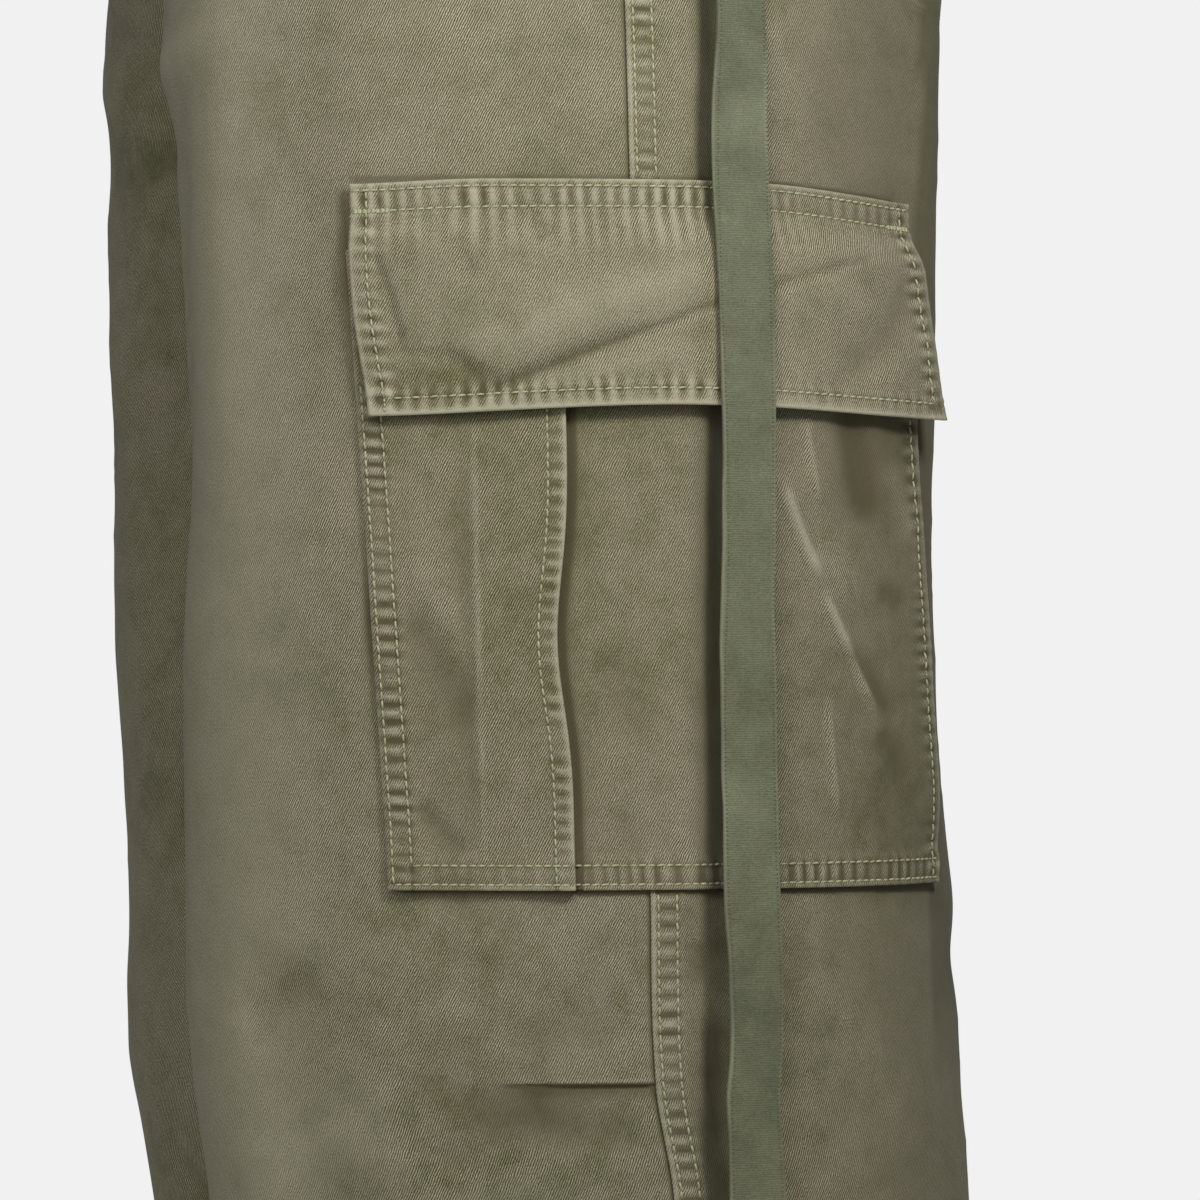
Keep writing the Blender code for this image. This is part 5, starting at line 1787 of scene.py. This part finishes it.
class Surface(Graph):
    """A material's nodes, with what the finishes share."""

    def __init__(self, name: str) -> None:
        """Start a material with the place on the body to hand."""
        self.material = bpy.data.materials.new(name)
        self.material.use_nodes = True
        super().__init__(self.material.node_tree)
        self.shader = self.tree.nodes["Principled BSDF"]
        self.place = self.add("ShaderNodeTexCoord").outputs["Object"]

    def cloth(self) -> tuple[Socket, Socket]:
        """Place on the flat cloth, and its paleness from rubbing and from painted light and shade."""
        flat = self.add("ShaderNodeUVMap", uv_map="cloth").outputs[0]
        return flat, self.add("ShaderNodeAttribute", attribute_name="wear_and_shade").outputs["Fac"]

    def group(self, tree: bpy.types.NodeTree, vector: Socket) -> bpy.types.NodeOutputs:
        """Add a shared group that works on a vector, and give its values."""
        node = self.add("ShaderNodeGroup", node_tree=tree)
        self.put(node.inputs[0], vector)
        return node.outputs

    def tint(self, colour: object, shade: Socket) -> Socket:
        """Multiply a colour by a value."""
        grey = self.add("ShaderNodeCombineColor")
        for socket in grey.inputs:
            self.put(socket, shade)
        return self.mix(1.0, colour, grey.outputs[0], "MULTIPLY")

    def bump(self, height: Socket, strength: float, distance: float) -> None:
        """Stand the surface out by a height."""
        bump = self.add("ShaderNodeBump")
        for name, value in (("Strength", strength), ("Distance", distance), ("Height", height)):
            self.put(bump.inputs[name], value)
        self.put(self.shader.inputs["Normal"], bump.outputs[0])

    def finish(
        self,
        colour: Socket,
        roughness: float,
        specular: float = 0.5,
        sheen: float = 0.0,
        sheen_roughness: float = 0.5,
    ) -> Material:
        """Set the shader's colour and other settings, and give the material."""
        for name, value in (
            ("Base Color", colour),
            ("Roughness", roughness),
            ("Specular IOR Level", specular),
            ("Sheen Weight", sheen),
            ("Sheen Roughness", sheen_roughness),
        ):
            self.put(self.shader.inputs[name], value)
        return self.material


@dataclass(frozen=True)
class ClothFinish:
    """Washed twill of one dye lot.

    Attributes:
        name: Name of the material.
        fresh: Colour where the wash has taken least out.
        washed: Colour where it has taken most.
        warm: The browner cast of some patches.
        fade: Colour of edges and crests paled by rubbing, and of painted highlights.
        deep_and_shade: Colour down in the puckers, and of painted shade.
        line_contrast: How much the weave's lines change the colour.
        roughness: Roughness.
    """

    name: str
    fresh: Colour
    washed: Colour
    warm: Colour
    fade: Colour
    deep_and_shade: Colour
    line_contrast: float = 0.85
    roughness: float = 0.88

    def build(self, shared: Shared) -> Material:
        """Make the material."""
        surface = Surface(self.name)
        flat, wear_and_shade_attribute = surface.cloth()
        line, slub = surface.group(shared.twill, flat)
        warm, light = surface.group(shared.mottle, surface.place)
        colour = surface.mix(light, self.fresh, self.washed)
        colour = surface.mix(surface.math("MULTIPLY", warm, 0.45), colour, self.warm)
        contrast = surface.range(wear_and_shade_attribute, -0.45, 0.15, 0.5 * self.line_contrast, self.line_contrast)
        lines = surface.math("MULTIPLY", surface.range(line, 0.0, 1.0, -1.0, 1.0), contrast)
        weave = surface.math("ADD", 1.0, lines)
        yarn = surface.range(slub, 0.3, 0.7, 0.66, 1.34)
        colour = surface.tint(colour, surface.math("MULTIPLY", weave, yarn))
        # The attribute mixes in the pale colour for wear and painted highlights, and the deep colour for
        # painted shade and the puckers' hollows.
        tone_shift = surface.math("MULTIPLY", wear_and_shade_attribute, surface.range(slub, 0.3, 0.7, 0.75, 1.25))
        colour = surface.mix(surface.range(tone_shift, 0.08, 1.1, 0.0, 0.85), colour, self.fade)
        colour = surface.mix(surface.range(tone_shift, -0.08, -0.8, 0.0, 0.85), colour, self.deep_and_shade)
        surface.bump(surface.mix_value(line, slub, 0.45), 0.55, 0.00016)
        return surface.finish(colour, self.roughness, specular=0.18, sheen=0.10, sheen_roughness=0.55)


@dataclass(frozen=True)
class TapeFinish:
    """Rib-woven tape with pale edges.

    Attributes:
        name: Name of the material.
        base: Its colour.
        fade: Colour of its paler edges.
        deep_and_shade: Colour of the painted shade down in the needle holes.
    """

    name: str = "rib_tape"
    base: Colour = (0.136, 0.145, 0.087)
    fade: Colour = (0.330, 0.340, 0.220)
    deep_and_shade: Colour = (0.050, 0.050, 0.030)

    def build(self, shared: Shared) -> Material:
        """Make the material."""
        surface = Surface(self.name)
        flat, wear_and_shade_attribute = surface.cloth()
        rib, hole = surface.group(shared.ribs, flat)
        _, light = surface.group(shared.mottle, surface.place)
        ribbed = surface.range(rib, 0.0, 1.0, 0.64, 1.36)
        clouded = surface.range(light, 0.0, 1.0, 0.68, 1.28)
        colour = surface.tint(self.base, surface.math("MULTIPLY", ribbed, clouded))
        colour = surface.mix(surface.range(wear_and_shade_attribute, 0.10, 1.0, 0.0, 0.8), colour, self.fade)
        # painted shade in the needle holes
        colour = surface.mix(surface.math("MULTIPLY", hole, 0.75), colour, self.deep_and_shade)
        surface.bump(rib, 0.5, 0.00014)
        return surface.finish(colour, 0.75, specular=0.25, sheen=0.15)


@dataclass(frozen=True)
class PlainFinish:
    """Thread or a moulded piece: one colour with slight unevenness.

    Attributes:
        name: Name of the material.
        base: Its colour.
        other: The colour that it wanders to.
        size: Size of the wandering, in metres.
        roughness: Roughness.
        sheen: Weight of the sheen.
    """

    name: str
    base: Colour
    other: Colour
    size: float
    roughness: float
    sheen: float

    def build(self) -> Material:
        """Make the material."""
        surface = Surface(self.name)
        share = surface.range(surface.noise(surface.place, self.size), 0.35, 0.65)
        colour = surface.mix(share, self.base, self.other)
        return surface.finish(colour, self.roughness, sheen=self.sheen)


TWILL = ClothFinish(
    "washed_twill",
    fresh=(0.134, 0.128, 0.060),
    washed=(0.304, 0.281, 0.206),
    warm=(0.226, 0.196, 0.124),
    fade=(0.420, 0.398, 0.290),
    deep_and_shade=(0.080, 0.069, 0.032),
)
POCKET_TWILL = ClothFinish(
    "pocket_twill",
    fresh=(0.130, 0.123, 0.055),
    washed=(0.302, 0.278, 0.202),
    warm=(0.224, 0.192, 0.118),
    fade=(0.430, 0.408, 0.295),
    deep_and_shade=(0.078, 0.066, 0.029),
)
SEWING_THREAD = PlainFinish("sewing_thread", (0.460, 0.465, 0.300), (0.360, 0.358, 0.205), 0.004, 0.6, 0.1)
BUTTON_HORN = PlainFinish("moulded_button", (0.050, 0.042, 0.028), (0.085, 0.068, 0.045), 0.006, 0.42, 0.0)
STUDIO_PAPER = PlainFinish("studio_paper", (0.80, 0.80, 0.79), (0.78, 0.78, 0.77), 0.3, 0.9, 0.0)


@dataclass(frozen=True)
class Finishes:
    """The materials that the pieces are made of."""

    twill: Material
    pocket_twill: Material
    tape: Material
    thread: Material
    button: Material

    @classmethod
    def make(cls) -> "Finishes":
        """Make each material once."""
        shared = Shared()
        woven = (finish.build(shared) for finish in (TWILL, POCKET_TWILL, TapeFinish()))
        return cls(*woven, SEWING_THREAD.build(), BUTTON_HORN.build())


class Lamp(NamedTuple):
    """One round lamp, aimed at the thigh."""

    name: str
    aside: float    # degrees to the right of the view
    up: float
    away: float
    size: float
    watts: float


class Studio:
    """Soft studio light, pale floor and the camera."""

    ACROSS = Vector((0.19937, 0.97992, 0.0))     # to the right of the view
    TOWARDS = Vector((0.97992, -0.19937, 0.0))   # back to the camera
    EYE = Vector((2.7406, -0.5172, -0.469))
    THIGH = Vector((0.170, 0.0, -0.300))
    LENS = 226.0
    SENSOR = 36.0
    CLIP_END = 20.0
    AMBIENT = 0.06
    AMBIENT_TINT = (1.0, 0.97, 0.78)
    BACKDROP = 0.88
    FLOOR_RADIUS = 1.5
    FLOOR_DROP = 0.005        # from the hems to the floor
    LAMPS = (
        # name  aside   up    away  size  watts
        Lamp("key", 32.0, 30.0, 1.05, 0.28, 7.5),
        Lamp("above", -4.0, 40.0, 1.05, 0.42, 3.4),
        Lamp("fill", -28.0, 15.0, 1.40, 1.00, 6.4),
        Lamp("far", 180.0, 24.0, 1.60, 1.00, 13.0),
    )

    def stand(self, name: str, data: bpy.types.ID, place: Vector, facing: Vector) -> Piece:
        """Put a lamp or camera in the scene, with its back to a direction."""
        piece = bpy.data.objects.new(name, data)
        piece.location = place
        piece.rotation_euler = facing.to_track_quat("Z", "Y").to_euler()
        bpy.context.scene.collection.objects.link(piece)
        return piece

    def lamps(self) -> None:
        """Put up the lamps."""
        for row in self.LAMPS:
            data = bpy.data.lights.new(row.name, "AREA")
            data.shape = "DISK"
            data.size = row.size
            data.energy = row.watts
            aside, up = math.radians(row.aside), math.radians(row.up)
            level = self.TOWARDS * math.cos(aside) + self.ACROSS * math.sin(aside)
            aim = level * math.cos(up) + Vector((0.0, 0.0, math.sin(up)))
            self.stand(row.name, data, self.THIGH + aim * row.away, aim).visible_camera = False

    def surroundings(self) -> None:
        """Set an even surrounding light, and a pale backdrop that only the camera sees."""
        world = bpy.data.worlds.new("studio")
        world.use_nodes = True
        graph = Graph(world.node_tree)
        around = graph.tree.nodes["Background"]
        seen = graph.add("ShaderNodeBackground")
        graph.put(around.inputs["Color"], self.AMBIENT_TINT)
        graph.put(around.inputs["Strength"], self.AMBIENT)
        graph.put(seen.inputs["Color"], (self.BACKDROP,) * 3)
        choice = graph.add("ShaderNodeMixShader")
        camera_ray = graph.add("ShaderNodeLightPath").outputs["Is Camera Ray"]
        for socket, value in zip(choice.inputs, (camera_ray, around.outputs[0], seen.outputs[0])):
            graph.put(socket, value)
        graph.put(graph.tree.nodes["World Output"].inputs["Surface"], choice.outputs[0])
        bpy.context.scene.world = world
        bpy.context.scene.view_settings.view_transform = "Standard"

    def floor(self) -> None:
        """Lay a plain pale floor under the hems."""
        bpy.ops.object.select_all(action="DESELECT")
        place = (0.0, 0.0, HEM - self.FLOOR_DROP)
        radius = self.FLOOR_RADIUS
        bpy.ops.mesh.primitive_circle_add(vertices=96, radius=radius, fill_type="NGON", location=place)
        disc = bpy.context.object
        disc.name = "studio_floor"
        disc.data.materials.append(STUDIO_PAPER.build())

    def camera(self) -> None:
        """Set the camera level with the thigh, out to the wearer's left and a little in front."""
        data = bpy.data.cameras.new("camera")
        data.lens = self.LENS
        data.sensor_width = self.SENSOR
        data.clip_end = self.CLIP_END
        bpy.context.scene.camera = self.stand("camera", data, self.EYE, self.TOWARDS)

    def build(self) -> None:
        """Set up the whole studio."""
        self.lamps()
        self.surroundings()
        self.floor()
        self.camera()


def dress(piece: Piece, slot: str, *nodes: str) -> Piece:
    """Let a piece ride on the body and stand for nodes of the frame."""
    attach(piece, "root")
    if nodes:
        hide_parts(*nodes)
    LOG.info("%s: %d faces", piece.name, len(piece.data.polygons))
    return piece


def sew(name: str, part: "Fly | CargoPocket | CargoFlap | Strap", thread: Material, slot: str) -> None:
    """Sew a part's own rows of stitches and dress them."""
    sewing = Stitching(name)
    part.sew(sewing)
    dress(sewing.build(thread), slot)


def main() -> None:
    """Build every piece, then the studio."""
    logging.basicConfig(level=logging.INFO, format="%(name)s: %(message)s")
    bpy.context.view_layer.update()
    cloth = Finishes.make()
    for side in Side:
        near = side is Side.LEFT     # the near leg is meshed more finely
        leg = Leg(side)
        sewing = Stitching(f"leg_stitching_{side.value}")
        for half in Half:
            Panel(leg, half, 0.0015 if near else 0.0027).make(cloth, sewing)
        dress(sewing.build(cloth.thread), "twill")
        Waistband(side).make(cloth)
        CargoPocket(leg, 0.0014 if near else 0.0023).make(cloth)
        CargoFlap(leg, 0.0009 if near else 0.0018).make(cloth)
        if near:
            Fly(leg).make(cloth)
            Strap(leg).make(cloth)
    Studio().build()


if __name__ == "__main__":
    main()
